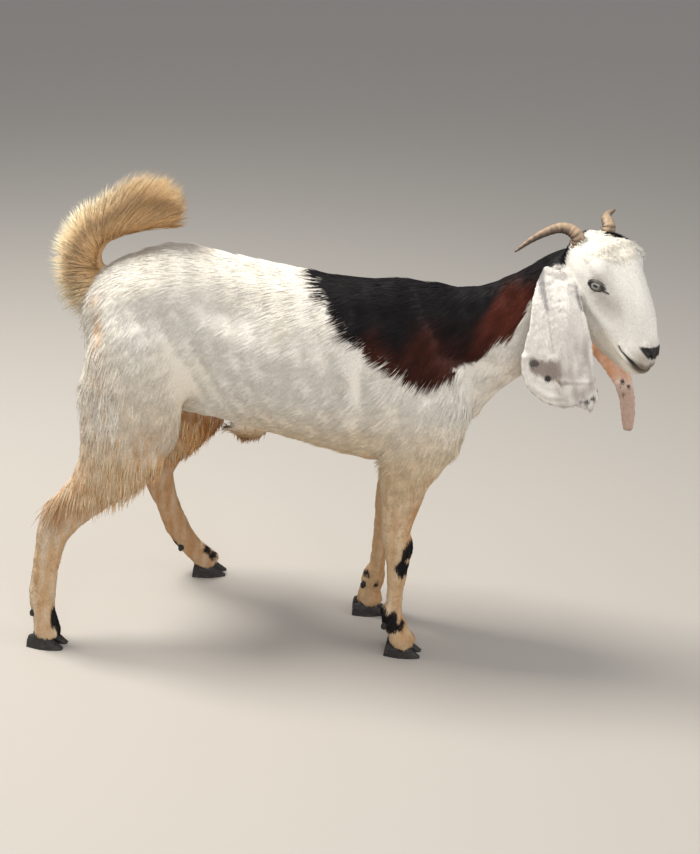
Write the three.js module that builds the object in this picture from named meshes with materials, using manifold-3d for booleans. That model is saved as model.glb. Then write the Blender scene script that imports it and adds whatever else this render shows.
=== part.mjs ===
// A young long-eared buck goat, standing, as a life-size still model.
// Millimetres, +Z up. The goat faces +X and its left side is +Y. Every outer size is taken
// over the coat, so the buttock feathers and the tail brush are part of the solids.
import * as THREE from 'three';
import { LoftGeometry } from 'three/addons/geometries/LoftGeometry.js';
import { mergeVertices } from 'three/addons/utils/BufferGeometryUtils.js';
import Module from 'manifold-3d';

const wasm = await Module();
wasm.setup();

// ---------- driving dimensions ----------
const WITHERS = 766; // height of the back over the shoulders
const CROUP = 797; // the rump stands a little higher
const BELLY = 408; // lowest line of the chest between the forelegs
const CHEST_HALF = 120; // half the width at the ribs
const HEAD = 240; // poll to upper lip
const HEAD_YAW = -40; // degrees: the head is turned to the goat's right
const HEAD_PITCH = 45; // degrees: how far the face points down
const HEAD_ROLL = 2; // degrees: the right side of the head is held a little lower
const POLL = new THREE.Vector3(418, -26, 879); // between the horns, on top of the head
const EYE_RADIUS = 13;
const CLAW = { length: 72, height: 32, width: 23 };
const GAP = 0.4; // thin cut between neighbouring pieces

// ---------- colours ----------
const paint = (color, roughness) => new THREE.MeshStandardMaterial({ color, roughness, metalness: 0 });
const WHITE = paint(0xe9e0cd, 0.85);
const CREAM = paint(0xc9a067, 0.9);
const EAR_SKIN = paint(0xdccfc4, 0.8);
const HORN = paint(0xa48a66, 0.55);
const HOOF = paint(0x211d1a, 0.5);
const EYE = paint(0xa99f86, 0.1);

const v3 = (x, y, z) => new THREE.Vector3(x, y, z);
const LEFT = v3(0, 1, 0);

// ---------- solids ----------
// A closed geometry as a manifold solid, turned the right way out.
function solid(geometry) {
  const bare = new THREE.BufferGeometry();
  bare.setAttribute('position', geometry.getAttribute('position'));
  bare.setIndex(geometry.getIndex());
  const merged = mergeVertices(bare, 1e-3);
  const triVerts = new Uint32Array(merged.index.array);
  const make = () => new wasm.Manifold(
    new wasm.Mesh({ numProp: 3, vertProperties: merged.attributes.position.array, triVerts }),
  );
  const made = make();
  if (made.volume() > 0) return made;
  for (let i = 0; i < triVerts.length; i += 3) {
    [triVerts[i + 1], triVerts[i + 2]] = [triVerts[i + 2], triVerts[i + 1]];
  }
  return make();
}

// A closed loft through rings of points. Rings are turned to run anticlockwise seen from the far end.
function loft(sections) {
  const middleOf = (points) => points.reduce((a, p) => a.add(p), v3()).divideScalar(points.length);
  const travel = middleOf(sections[1]).sub(middleOf(sections[0]));
  const [first] = sections;
  const area = v3();
  for (let i = 1; i < first.length - 1; i++) {
    area.add(first[i].clone().sub(first[0]).cross(first[i + 1].clone().sub(first[0])));
  }
  const rings = area.dot(travel) > 0 ? sections : sections.map((points) => [...points].reverse());
  return solid(new LoftGeometry(rings, { capStart: true, capEnd: true }));
}

// A manifold solid back as a three.js geometry.
function geometryOf(made) {
  const mesh = made.getMesh();
  const step = mesh.numProp;
  const position = new Float32Array(mesh.numVert * 3);
  for (let i = 0; i < mesh.numVert; i++) {
    position.set(mesh.vertProperties.subarray(i * step, i * step + 3), i * 3);
  }
  const geometry = new THREE.BufferGeometry();
  geometry.setAttribute('position', new THREE.BufferAttribute(position, 3));
  geometry.setIndex(new THREE.BufferAttribute(new Uint32Array(mesh.triVerts), 1));
  geometry.computeVertexNormals();
  return geometry;
}

const join = (...all) => all.reduce((a, b) => a.add(b));
// Keeps the part of a solid on the side of a plane that its normal points to.
const keep = (made, normal, point) => {
  const n = normal.clone().normalize();
  return made.trimByPlane([n.x, n.y, n.z], n.dot(point) + GAP / 2);
};
const parted = (made, normal, point) => [
  keep(made, normal, point),
  keep(made, normal.clone().negate(), point),
];

// One ring of a loft: a rounded section about a centre, with its own reach up, down and sideways.
// round is 2 for an ellipse, less for a sharper ridge, more for a boxier side.
function ring(centre, side, up, { half, rise, drop, roundTop = 2, roundBottom = 2, grow = 0, sides }) {
  const points = [];
  for (let i = 0; i < sides; i++) {
    const angle = (i / sides) * 2 * Math.PI;
    const c = Math.cos(angle);
    const s = Math.sin(angle);
    const round = s > 0 ? roundTop : roundBottom;
    const across = Math.sign(c) * Math.abs(c) ** (2 / round) * (half + grow);
    const along = Math.sign(s) * Math.abs(s) ** (2 / round) * ((s > 0 ? rise : drop) + grow);
    points.push(centre.clone().addScaledVector(side, across).addScaledVector(up, along));
  }
  return points;
}

// A smooth curve through one number of each station.
function along(stations, pick) {
  const values = stations.map((station, i) => v3(i, pick(station), 0));
  const curve = new THREE.CatmullRomCurve3(values, false, 'catmullrom', 0.5);
  return (t) => curve.getPoint(t).y;
}

// A form of the body's middle line. Each station is [top x, top z, bottom x, bottom z, half width, y,
// level of the widest line from 0 at the bottom, roundness of the top, roundness of the bottom].
function midForm(stations, { rows, sides, grow = 0, frame = null }) {
  const [tx, tz, bx, bz, w, y, level, rt, rb] = [0, 1, 2, 3, 4, 5, 6, 7, 8].map(
    (k) => along(stations, (s) => s[k] ?? [0, 0, 0, 0, 0, 0, 0.5, 2, 2][k]),
  );
  const sections = [];
  for (let i = 0; i <= rows; i++) {
    const t = i / rows;
    const top = v3(tx(t), y(t), tz(t));
    const bottom = v3(bx(t), y(t), bz(t));
    const up = top.clone().sub(bottom);
    const height = up.length();
    up.normalize();
    const centre = bottom.clone().addScaledVector(up, height * level(t));
    sections.push(ring(centre, LEFT, up, {
      half: w(t), rise: height * (1 - level(t)), drop: height * level(t),
      roundTop: rt(t), roundBottom: rb(t), grow, sides,
    }));
  }
  if (frame) sections.forEach((points) => points.forEach((p) => p.applyMatrix4(frame)));
  return loft(sections);
}

// A limb. Each station is [x, y, z, reach fore and aft, reach sideways]; the rings stand square to it.
function limb(stations, { rows, sides, grow = 0 }) {
  const path = new THREE.CatmullRomCurve3(stations.map((s) => v3(s[0], s[1], s[2])), false, 'catmullrom', 0.5);
  const depth = along(stations, (s) => s[3]);
  const width = along(stations, (s) => s[4]);
  const sections = [];
  for (let i = 0; i <= rows; i++) {
    const t = i / rows;
    const tangent = path.getTangent(t);
    const fore = v3().crossVectors(LEFT, tangent).normalize();
    const side = v3().crossVectors(tangent, fore).normalize();
    sections.push(ring(path.getPoint(t), side, fore, {
      half: width(t), rise: depth(t), drop: depth(t), grow, sides,
    }));
  }
  return loft(sections);
}

// An egg of three radii, at a place, turned by a matrix.
function egg(place, radii, { columns = 12, rows = 8, frame = null, grow = 0 } = {}) {
  const geometry = new THREE.SphereGeometry(1, columns, rows);
  geometry.scale(radii.x + grow, radii.y + grow, radii.z + grow).translate(place.x, place.y, place.z);
  if (frame) geometry.applyMatrix4(frame);
  return solid(geometry);
}

const group = new THREE.Group();
function piece(name, made, material) {
  const mesh = new THREE.Mesh(geometryOf(made), material);
  mesh.name = name;
  group.add(mesh);
  return mesh;
}

const SIDES = { left: 1, right: -1 };

// ---------- trunk ----------
const trunkStations = [
  [-478, 690, -474, 620, 30, 0, 0.5],
  [-462, 720, -462, 560, 52, 0, 0.5],
  [-425, 752, -425, 515, 74, 0, 0.55],
  [-365, 780, -365, 485, 88, 0, 0.6, 1.9],
  [-300, CROUP, -300, 470, 90, 0, 0.6, 1.8],
  [-235, CROUP - 8, -235, 462, 92, 0, 0.52, 1.75],
  [-160, 778, -165, 452, 106, 0, 0.45, 1.75],
  [-80, 767, -85, 438, CHEST_HALF, 0, 0.44, 1.75],
  [0, 759, 0, 419, CHEST_HALF + 2, 0, 0.45, 1.7],
  [65, 762, 70, BELLY - 3, 112, 0, 0.46, 1.6],
  [112, WITHERS, 130, BELLY, 98, 0, 0.46, 1.55],
  [160, 760, 190, 443, 84, 0, 0.45, 1.6],
  [212, 742, 240, 494, 68, 0, 0.45, 1.8],
  [246, 700, 266, 548, 44, 0, 0.5, 2],
];
const TRUNK_ROWS = 20;
const TRUNK_SIDES = 18;
// ---------- neck ----------
const neckStations = [
  [85, 745, 165, 470, 60, 0, 0.5, 1.8],
  [150, 761, 248, 510, 72, 0, 0.48, 1.75],
  [212, 757, 288, 562, 64, -1, 0.48, 1.75],
  [267, 777, 322, 596, 56, -5, 0.48, 1.8],
  [316, 809, 358, 630, 51, -12, 0.48, 1.9],
  [357, 840, 398, 664, 48, -20, 0.48, 2],
  [392, 858, 436, 694, 44, -30, 0.48, 2],
];
// ---------- head, in its own frame: X down the face from the poll, Z out of the forehead ----------
const headStations = [
  [-30, -44, 0, -94, 30, 0, 0.5],
  [-14, -18, 26, -114, 47, 0, 0.6, 2.2],
  [10, 3, 60, -125, 56, 0, 0.66, 2.6, 1.9],
  [42, 19, 96, -131, 59, 0, 0.72, 2.7, 1.9],
  [76, 25, 128, -126, 54, 0, 0.74, 2.4, 2],
  [108, 24, 157, -118, 46, 0, 0.72, 2.1, 2.1],
  [140, 19, 186, -109, 38, 0, 0.64, 2, 2.2],
  [172, 10, 212, -98, 31, 0, 0.58, 2.1, 2.1],
  [202, -4, 231, -89, 26, 0, 0.5, 2.2, 2.1],
  [219, -11, HEAD + 3, -72, 22, 0, 0.48, 2.2, 2.2],
  [229, -19, HEAD + 7, -56, 14, 0, 0.45, 2.2, 2.2],
];

const headFrame = new THREE.Matrix4().compose(
  POLL,
  new THREE.Quaternion().setFromEuler(new THREE.Euler(
    THREE.MathUtils.degToRad(HEAD_ROLL), THREE.MathUtils.degToRad(HEAD_PITCH), THREE.MathUtils.degToRad(HEAD_YAW), 'ZYX',
  )),
  v3(1, 1, 1),
);
const inHead = (x, y, z) => v3(x, y, z).applyMatrix4(headFrame);
const headDirection = (x, y, z) => v3(x, y, z).transformDirection(headFrame);

const eyePlace = (side) => v3(86, side * 46, -17);
const NAPE = { point: inHead(-16, 0, -16), normal: headDirection(0.78, 0, 0.62) };

function headForm(grow) {
  const parts = [midForm(headStations, { rows: 14, sides: 16, grow, frame: headFrame })];
  for (const side of Object.values(SIDES)) {
    parts.push(egg(v3(68, side * 41, 0), v3(28, 18, 16), { frame: headFrame, grow, columns: 9, rows: 6 }));
    parts.push(egg(v3(4, side * 36, -18), v3(17, 15, 16), { frame: headFrame, grow, columns: 8, rows: 6 }));
  }
  return join(...parts);
}

// ---------- legs ----------
// Each foot is set down by its own place; joints above it bend as the stance asks.
const FORE = {
  right: { y: -1, blade: [168, 30, 676], shoulder: [174, 64, 580], arm: [160, 74, 490], elbow: [134, 76, 425],
    forearm: [126, 73, 352], wrist: [120, 68, 290], knee: [128, 65, 252], cannon: [128, 61, 180],
    shin: [127, 58, 122], fetlock: [123, 55, 92], pastern: [138, 52, 56], coronet: [146, 50, 34], foot: [151, 46], dew: 108 },
  left: { y: 1, blade: [168, 30, 676], shoulder: [174, 64, 580], arm: [158, 74, 490], elbow: [128, 78, 425],
    forearm: [114, 78, 352], wrist: [98, 78, 290], knee: [99, 79, 250], cannon: [88, 81, 178],
    shin: [83, 83, 120], fetlock: [78, 85, 92], pastern: [72, 87, 58], coronet: [71, 88, 36], foot: [72, 88], dew: 54 },
};
const foreStations = (f) => {
  const at = (p, depth, width) => [p[0], f.y * p[1], p[2], depth, width];
  return [
    at(f.blade, 46, 26), at(f.shoulder, 70, 36), at(f.arm, 72, 37), at(f.elbow, 55, 34), at(f.forearm, 40, 29),
    at(f.wrist, 30, 25), at(f.knee, 28, 24), at(f.cannon, 18.5, 17), at(f.shin, 16, 15.5), at(f.fetlock, 24, 21),
    at(f.pastern, 22, 21.5), at(f.coronet, 26, 25), [f.foot[0], f.y * f.foot[1], 24, 27, 25],
  ];
};
const HIND = {
  right: { y: -1, hip: [-362, 54, 700], thigh: [-366, 80, 590], stifle: [-374, 94, 484], gaskin: [-404, 104, 404],
    shank: [-452, 112, 342], above: [-490, 118, 304], hock: [-517, 121, 262], below: [-529, 124, 228],
    cannon: [-541, 128, 172], fetlock: [-552, 132, 100], pastern: [-549, 134, 66], coronet: [-545, 135, 40],
    foot: [-545, 135], dew: -571 },
  left: { y: 1, hip: [-342, 54, 700], thigh: [-324, 82, 590], stifle: [-306, 98, 484], gaskin: [-330, 108, 404],
    shank: [-362, 120, 342], above: [-382, 128, 296], hock: [-388, 134, 258], below: [-380, 138, 218],
    cannon: [-366, 144, 168], fetlock: [-346, 154, 108], pastern: [-322, 164, 68], coronet: [-298, 172, 38],
    foot: [-288, 175], dew: -346 },
};
const hindStations = (h) => {
  const at = (p, depth, width) => [p[0], h.y * p[1], p[2], depth, width];
  return [
    at(h.hip, 62, 28), at(h.thigh, 96, 42), at(h.stifle, 98, 43), at(h.gaskin, 74, 36), at(h.shank, 52, 29),
    at(h.above, 43, 24.5), at(h.hock, 35, 22.5), at(h.below, 29, 20), at(h.cannon, 26, 18.5),
    at(h.fetlock, 26, 21), at(h.pastern, 23, 21.5), at(h.coronet, 26, 24.5),
    [h.foot[0], h.y * h.foot[1], 24, 27, 24.5],
  ];
};

// One claw of a cloven hoof, its sole flat on the floor, toe to +X, outer wall to +Y.
function claw({ length, height, width }) {
  const rows = 5;
  const sections = [];
  for (let i = 0; i <= rows; i++) {
    const t = i / rows; // from heel to toe
    const x = (t - 0.5) * length;
    const top = height * (0.72 + 0.28 * Math.sin(Math.PI * Math.min(1, t * 1.25)) - 0.62 * t ** 3);
    const half = (width / 2) * (0.72 + 0.28 * Math.sin(Math.PI * t)) * (1 - 0.55 * t ** 4);
    const bend = -0.12 * width * t ** 2; // the toe turns in towards its neighbour
    const points = [];
    const arc = 6;
    for (let k = 0; k <= arc; k++) {
      const a = Math.PI * (k / arc);
      const lean = 0.16 * width * (1 - Math.sin(a) ** 1.2);
      const y = bend + Math.cos(a) * (half + lean * 0.4);
      points.push(v3(x + (1 - t) * 3 * Math.sin(a), y, Math.sin(a) ** 0.7 * top));
    }
    sections.push(points);
  }
  return loft(sections);
}

function dewclaw() {
  return egg(v3(0, 0, 0), v3(7, 6.5, 11), { columns: 6, rows: 5 });
}

const clawShape = claw(CLAW);
const dewclawShape = dewclaw();

// Places a ready-made solid by a turn about Z, a turn about Y and a shift.
function placed(made, { x, y, z = 0, turn = 0, tip = 0, flip = false }) {
  const m = new THREE.Matrix4().makeTranslation(x, y, z)
    .multiply(new THREE.Matrix4().makeRotationZ(THREE.MathUtils.degToRad(turn)))
    .multiply(new THREE.Matrix4().makeRotationY(THREE.MathUtils.degToRad(tip)));
  if (flip) m.multiply(new THREE.Matrix4().makeScale(1, -1, 1));
  return made.transform([...m.elements]);
}

function foot(name, { x, y, turn, dew }) {
  const rad = THREE.MathUtils.degToRad(turn);
  const claws = [];
  for (const [which, side] of [['outer', Math.sign(y)], ['inner', -Math.sign(y)]]) {
    claws.push([`${name}_dewclaw_${which}`, placed(dewclawShape, {
      x: dew[0], y: dew[1] + side * 12, z: dew[2], turn: turn + side * 25, tip: 20,
    })]);
  }
  for (const [which, side] of [['outer', Math.sign(y)], ['inner', -Math.sign(y)]]) {
    const off = side * (CLAW.width / 2 + 2.2);
    claws.push([`${name}_claw_${which}`, placed(clawShape, {
      x: x - off * Math.sin(rad), y: y + off * Math.cos(rad), turn, flip: side < 0,
    })]);
  }
  return claws;
}

// ---------- the body whole, then parted ----------
let trunk = midForm(trunkStations, { rows: TRUNK_ROWS, sides: TRUNK_SIDES });
let neck = midForm(neckStations, { rows: 10, sides: 18 });
const neckGrown = midForm(neckStations, { rows: 10, sides: 18, grow: GAP });
const BREAST = { point: v3(236, 0, 640), normal: v3(0.9, 0, 0.44) };
const [neckUpper, neckLower] = parted(neck, BREAST.normal, BREAST.point);
trunk = join(keep(trunk, BREAST.normal.clone().negate(), BREAST.point), neckLower);
neck = keep(join(neckUpper, keep(midForm(trunkStations, { rows: TRUNK_ROWS, sides: TRUNK_SIDES }), BREAST.normal, BREAST.point)),
  NAPE.normal.clone().negate(), NAPE.point);
// the sheath under the belly
trunk = join(trunk, egg(v3(-172, 0, 446), v3(44, 17, 22), { columns: 10, rows: 8 }));

const legNodes = [];
for (const [sideName, side] of Object.entries(SIDES)) {
  // forelegs: forearm, cannon and pastern
  const f = FORE[sideName];
  const fore = foreStations(f);
  const whole = limb(fore, { rows: 18, sides: 12 });
  const wholeGrown = limb(fore, { rows: 18, sides: 12, grow: GAP });
  const elbow = { point: v3(130, side * 76, 440), normal: v3(0.1, 0, -1) };
  const knee = { point: v3(f.knee[0], side * f.knee[1], f.knee[2] - 34), normal: v3(0, 0, -1) };
  const ankle = { point: v3(...fore[9].slice(0, 3)), normal: v3(0.3, 0, -1) };
  trunk = join(trunk, keep(whole, elbow.normal.clone().negate(), elbow.point))
    .subtract(wholeGrown.trimByPlane(
      elbow.normal.clone().normalize().toArray(), elbow.normal.clone().normalize().dot(elbow.point) - GAP / 2,
    ));
  const [below, forearm] = parted(keep(whole, elbow.normal, elbow.point), knee.normal, knee.point);
  const [pastern, cannon] = parted(below, ankle.normal, ankle.point);
  legNodes.push([`fore_${sideName}_forearm`, forearm], [`fore_${sideName}_cannon`, cannon]);
  legNodes.push([`fore_${sideName}_pastern`, pastern, {
    x: f.foot[0], y: side * f.foot[1], turn: side * 4, dew: [f.dew, side * f.fetlock[1], 72],
  }]);

  // hind legs: thigh joined to the trunk, then gaskin, cannon and pastern
  const h = HIND[sideName];
  const hind = hindStations(h);
  const hindWhole = limb(hind, { rows: 18, sides: 12 });
  const hindGrown = limb(hind, { rows: 18, sides: 12, grow: GAP });
  const stifle = { point: v3(...hind[2].slice(0, 3)), normal: v3(-0.35, 0, -1) };
  const hock = { point: v3(...hind[7].slice(0, 3)), normal: v3(0, 0, -1) };
  const heel = { point: v3(...hind[9].slice(0, 3)), normal: v3(0.3, 0, -1) };
  const n = stifle.normal.clone().normalize();
  trunk = join(trunk, keep(hindWhole, stifle.normal.clone().negate(), stifle.point))
    .subtract(hindGrown.trimByPlane(n.toArray(), n.dot(stifle.point) - GAP / 2));
  const [lower, gaskin] = parted(keep(hindWhole, stifle.normal, stifle.point), hock.normal, hock.point);
  const [hindPastern, hindCannon] = parted(lower, heel.normal, heel.point);
  legNodes.push([`hind_${sideName}_gaskin`, gaskin], [`hind_${sideName}_cannon`, hindCannon]);
  legNodes.push([`hind_${sideName}_pastern`, hindPastern, {
    x: h.foot[0], y: h.y * h.foot[1], turn: side * 7, dew: [h.dew, side * h.fetlock[1], 76],
  }]);
}

// ---------- tail: a curled-up brush ----------
const tailStations = [
  [-400, 0, 712, 44, 26],
  [-450, 0, 703, 46, 30],
  [-492, 0, 722, 48, 34],
  [-491, 0, 763, 48, 36],
  [-463, 0, 803, 46, 37],
  [-425, 0, 834, 50, 38],
  [-384, 0, 851, 54, 37],
  [-346, 0, 853, 50, 34],
  [-316, 0, 846, 42, 28],
  [-296, 0, 832, 25, 18],
  [-288, 0, 822, 11, 9],
];
const largest = (made) => made.decompose().sort((a, b) => b.volume() - a.volume())[0];
const tail = largest(limb(tailStations, { rows: 15, sides: 11 })
  .subtract(midForm(trunkStations, { rows: TRUNK_ROWS, sides: TRUNK_SIDES, grow: GAP })));

// ---------- head with its sockets, eyes, horns and ears ----------
let head = keep(headForm(0), NAPE.normal, NAPE.point);
const headGrown = headForm(GAP);

// Each horn rises from the poll, sweeps back and out, and turns down a little at the tip.
const HORN_PATH = {
  right: [[14, 36, -28], [-1, 38, -12], [-18, 43, -14], [-30, 54, -24], [-34, 75, -40], [-33, 98, -57],
    [-28, 122, -73]],
  left: [[14, 35, -28], [3, 38, -6], [-8, 43, -4], [-18, 52, -9], [-26, 68, -16], [-31, 88, -21],
    [-35, 109, -25]],
};
function horn(side, grow = 0) {
  const path = new THREE.CatmullRomCurve3(
    HORN_PATH[side > 0 ? 'left' : 'right'].map(([x, y, z]) => inHead(x, side * y, z)), false, 'catmullrom', 0.5,
  );
  const sections = [];
  const rows = 12;
  for (let i = 0; i <= rows; i++) {
    const t = i / rows;
    const tangent = path.getTangent(t);
    const fore = v3().crossVectors(headDirection(0, 1, 0), tangent).normalize();
    const across = v3().crossVectors(tangent, fore).normalize();
    const size = (1 - t) ** 0.7 * 11.5 + 1.6;
    sections.push(ring(path.getPoint(t), across, fore, {
      half: size * 0.82, rise: size, drop: size, grow, sides: 9,
    }));
  }
  return loft(sections);
}

// A hanging ear: a thin leaf between a rear edge and a front edge, both running from the root to
// the tip. It bows away from the neck, thins towards both edges, and its lower end rolls outwards.
const EARS = {
  right: {
    out: v3(-0.3, -0.95, 0),
    rear: [[336, -60, 822], [326, -72, 800], [319, -86, 772], [319, -93, 739], [317, -97, 699], [315, -98, 662],
      [320, -100, 630], [338, -103, 605], [366, -105, 590], [400, -107, 584], [430, -109, 583]],
    front: [[386, -62, 812], [396, -78, 792], [404, -96, 770], [416, -104, 742], [427, -110, 710], [434, -115, 675],
      [440, -118, 647], [448, -121, 625], [452, -122, 605], [448, -120, 592], [440, -115, 587]],
    bow: 15,
  },
  left: {
    out: v3(0.35, 0.94, 0),
    rear: [[420, 36, 838], [414, 50, 806], [410, 58, 776], [410, 60, 739], [416, 58, 700], [430, 54, 660],
      [452, 48, 628], [480, 42, 598], [504, 38, 566], [514, 35, 530], [524, 32, 494]],
    front: [[470, 20, 826], [486, 30, 800], [498, 38, 770], [506, 42, 735], [510, 43, 700], [514, 42, 662],
      [518, 39, 630], [526, 36, 598], [537, 33, 560], [543, 31, 524], [541, 30, 492]],
    bow: 12,
  },
};
const EAR_THICK = 7;
function ear({ out, rear, front, bow }, grow = 0) {
  const curve = (edge) => new THREE.CatmullRomCurve3(edge.map((p) => v3(...p)), false, 'catmullrom', 0.5);
  const rearCurve = curve(rear);
  const frontCurve = curve(front);
  const rows = 13;
  const across = 5;
  const sections = [];
  for (let i = 0; i <= rows; i++) {
    const t = i / rows;
    const a = rearCurve.getPoint(t);
    const b = frontCurve.getPoint(t);
    const rise = bow * Math.sin(Math.PI * Math.min(1, t * 1.15 + 0.12));
    const thick = EAR_THICK + 10 * (1 - THREE.MathUtils.smoothstep(t, 0, 0.22)) + grow * 2;
    const face = (u, inner) => a.clone().lerp(b, u)
      .addScaledVector(out, rise * (1 - (2 * u - 1) ** 2) - inner * thick * (1 - 0.6 * (2 * u - 1) ** 4));
    const points = [];
    for (let k = 0; k <= across; k++) points.push(face(k / across, 0));
    for (let k = across; k >= 0; k--) points.push(face(k / across, 1));
    sections.push(points);
  }
  return loft(sections);
}

// ---------- put together ----------
piece('trunk', trunk, WHITE);
piece('neck', neck, WHITE);
piece('tail', tail, CREAM);

for (const [name, side] of Object.entries(SIDES)) {
  const place = eyePlace(side);
  const ball = (grow) => egg(place, v3(EYE_RADIUS, EYE_RADIUS, EYE_RADIUS), { frame: headFrame, grow, columns: 14, rows: 10 });
  piece(`eye_${name}`, ball(0), EYE);
  head = head.subtract(ball(GAP));
}
for (const [name, side] of Object.entries(SIDES)) {
  piece(`horn_${name}`, horn(side).subtract(headGrown).decompose().sort((a, b) => b.volume() - a.volume())[0], HORN);
  piece(`ear_${name}`, ear(EARS[name]).subtract(headGrown).subtract(neckGrown)
    .decompose().sort((a, b) => b.volume() - a.volume())[0], EAR_SKIN);
}
piece('head', head, WHITE);

for (const [name, made, place] of legNodes) {
  let rest = made;
  if (place) {
    for (const [clawName, clawMade] of foot(name.replace('_pastern', ''), place)) {
      piece(clawName, clawMade, HOOF);
      rest = rest.subtract(clawMade);
    }
  }
  piece(name, rest, place ? CREAM : WHITE);
}

// The origin is on the floor, below the middle of the whole box.
const box = new THREE.Box3().setFromObject(group);
const middle = box.getCenter(v3());
group.position.set(-middle.x, -middle.y, -box.min.z);

export default group;
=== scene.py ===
# %% [markdown]
# # A young lop-eared goat, dressed over its imported solids
# The imported model already holds the true size and stance of the goat. This lesson
# gives it a living surface: one skin without seams, a coat of mesh tufts, real eyes,
# ringed horns and split hooves. We load the frame first. Everything that follows has
# to stay inside it.

# %% Load the frame
import math
from types import SimpleNamespace

import bmesh
import bpy
import numpy as np
from mathutils import Matrix, Vector
from mathutils.bvhtree import BVHTree
from mathutils.kdtree import KDTree


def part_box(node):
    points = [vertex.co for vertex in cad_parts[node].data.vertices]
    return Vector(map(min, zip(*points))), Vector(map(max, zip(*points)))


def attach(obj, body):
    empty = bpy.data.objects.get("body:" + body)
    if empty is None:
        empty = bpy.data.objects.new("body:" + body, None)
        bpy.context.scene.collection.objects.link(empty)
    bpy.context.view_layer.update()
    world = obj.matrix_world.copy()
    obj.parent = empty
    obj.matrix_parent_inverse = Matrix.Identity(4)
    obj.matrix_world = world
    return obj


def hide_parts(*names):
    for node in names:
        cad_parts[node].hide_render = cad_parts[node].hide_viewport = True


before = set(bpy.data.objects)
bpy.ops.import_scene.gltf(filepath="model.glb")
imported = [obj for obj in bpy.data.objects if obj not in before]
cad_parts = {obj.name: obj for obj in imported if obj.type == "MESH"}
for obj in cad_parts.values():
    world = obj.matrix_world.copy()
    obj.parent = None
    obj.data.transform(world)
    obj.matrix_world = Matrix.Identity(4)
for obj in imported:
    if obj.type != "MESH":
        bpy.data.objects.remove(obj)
bpy.context.view_layer.update()

# %% [markdown]
# ## Where things are
# A goat is measured by its bones, so we keep two sets of axes. The body's axes have
# x towards the brisket, y to the goat's left and z up, with the ground at zero. The
# head has its own: s runs down the face, l to the goat's left and n up out of the
# forehead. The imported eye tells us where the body's axes begin.

# %% Body and head axes
MM = 0.001
POLL = np.array([0.418, -0.026, 0.879])
YAW, PITCH, ROLL = (math.radians(a) for a in (-40, 45, 2))
HEAD = np.array(
    Matrix.Rotation(YAW, 3, "Z") @ Matrix.Rotation(PITCH, 3, "Y") @ Matrix.Rotation(ROLL, 3, "X")
)
EYE = np.array([0.086, 0.046, -0.017])
EYE_RADIUS = 13 * MM


def from_head(points):
    """Places given on the head, in the body's axes."""
    return POLL + np.asarray(points) @ HEAD.T


def to_head(points):
    """Places of the body, read on the head's own axes."""
    return (points - POLL) @ HEAD


low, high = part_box("eye_right")
ORIGIN = np.array((low + high) / 2) - from_head(EYE * (1, -1, 1))
print("the body's axes begin at", ORIGIN.round(4))

# %% [markdown]
# ## Camera, floor and light
# A museum shows its models on pale paper under big soft lamps. The camera stands
# at a person's eye height and looks down on the goat. One broad lamp high above the
# back gives the bright top line, and wide fills open up the shaded side.

# %% Camera
LENS_MM, SENSOR_MM = 49.41, 36
CAMERA_SPOT = (0.178, -1.981, 1.4)
LOOK_DOWN, CAMERA_ROLL = math.radians(25.24), math.radians(3)
scene = bpy.context.scene
lens = bpy.data.cameras.new("camera")
lens.lens, lens.sensor_width = LENS_MM, SENSOR_MM
camera = bpy.data.objects.new("camera", lens)
scene.collection.objects.link(camera)
scene.camera = camera
ahead = Vector((-0.0802, 0.9968, -math.tan(LOOK_DOWN))).normalized()
across = ahead.cross((0, 0, 1)).normalized()
turn = Matrix((across, across.cross(ahead), -ahead)).transposed()
spot = Matrix.Translation(Vector(ORIGIN) + Vector(CAMERA_SPOT))
camera.matrix_world = spot @ (turn @ Matrix.Rotation(CAMERA_ROLL, 3, "Z")).to_4x4()
print("camera at", tuple(round(c, 3) for c in camera.matrix_world.translation))

# %% Floor, lamps and world
floor_mesh = bpy.data.meshes.new("floor")
bm = bmesh.new()
bmesh.ops.create_grid(bm, x_segments=1, y_segments=1, size=45)
bm.to_mesh(floor_mesh)
bm.free()
floor = bpy.data.objects.new("floor", floor_mesh)
scene.collection.objects.link(floor)
paper = bpy.data.materials.new("paper")
paper.use_nodes = True
paper_shader = paper.node_tree.nodes["Principled BSDF"]
paper_shader.inputs["Base Color"].default_value = (0.50, 0.47, 0.43, 1)
paper_shader.inputs["Roughness"].default_value = 0.9
floor_mesh.materials.append(paper)


def lamp(name, place, size, power, colour):
    """A square soft lamp that looks at the goat's ribs."""
    data = bpy.data.lights.new(name, "AREA")
    data.size, data.energy, data.color = size, power, colour
    ob = bpy.data.objects.new(name, data)
    ob.location = place
    ob.rotation_euler = (Vector((0, 0, 0.55)) - Vector(place)).to_track_quat("-Z", "Y").to_euler()
    scene.collection.objects.link(ob)


lamp("sky_lamp", (-1.5, 0.1, 3.1), 1.0, 122, (1.0, 0.96, 0.89))
lamp("front_lamp", (0.6, -3.2, 1.6), 2.6, 38, (1.0, 0.97, 0.93))
lamp("face_lamp", (3.0, -0.6, 1.9), 1.6, 26, (1.0, 0.97, 0.92))
world = bpy.data.worlds.new("room")
scene.world = world
world.use_nodes = True
sky = world.node_tree.nodes["Background"]
sky.inputs["Color"].default_value = (0.83, 0.84, 0.87, 1)
sky.inputs["Strength"].default_value = 0.48
scene.view_settings.view_transform = "Standard"
print(len(bpy.data.lights), "lamps")

# %% [markdown]
# ## Small tools for meshes held as arrays
# Sculpting by hand isn't possible in a script, so we push vertices with soft
# functions instead. A step that eases in and out, a round bump and a gentle ripple
# are enough for muscles, folds and the edges of markings.

# %% Soft functions


def ease(x, start, end):
    """0 before start, 1 after end, smooth between."""
    t = np.clip((x - start) / (end - start), 0, 1)
    return t * t * (3 - 2 * t)


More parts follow.
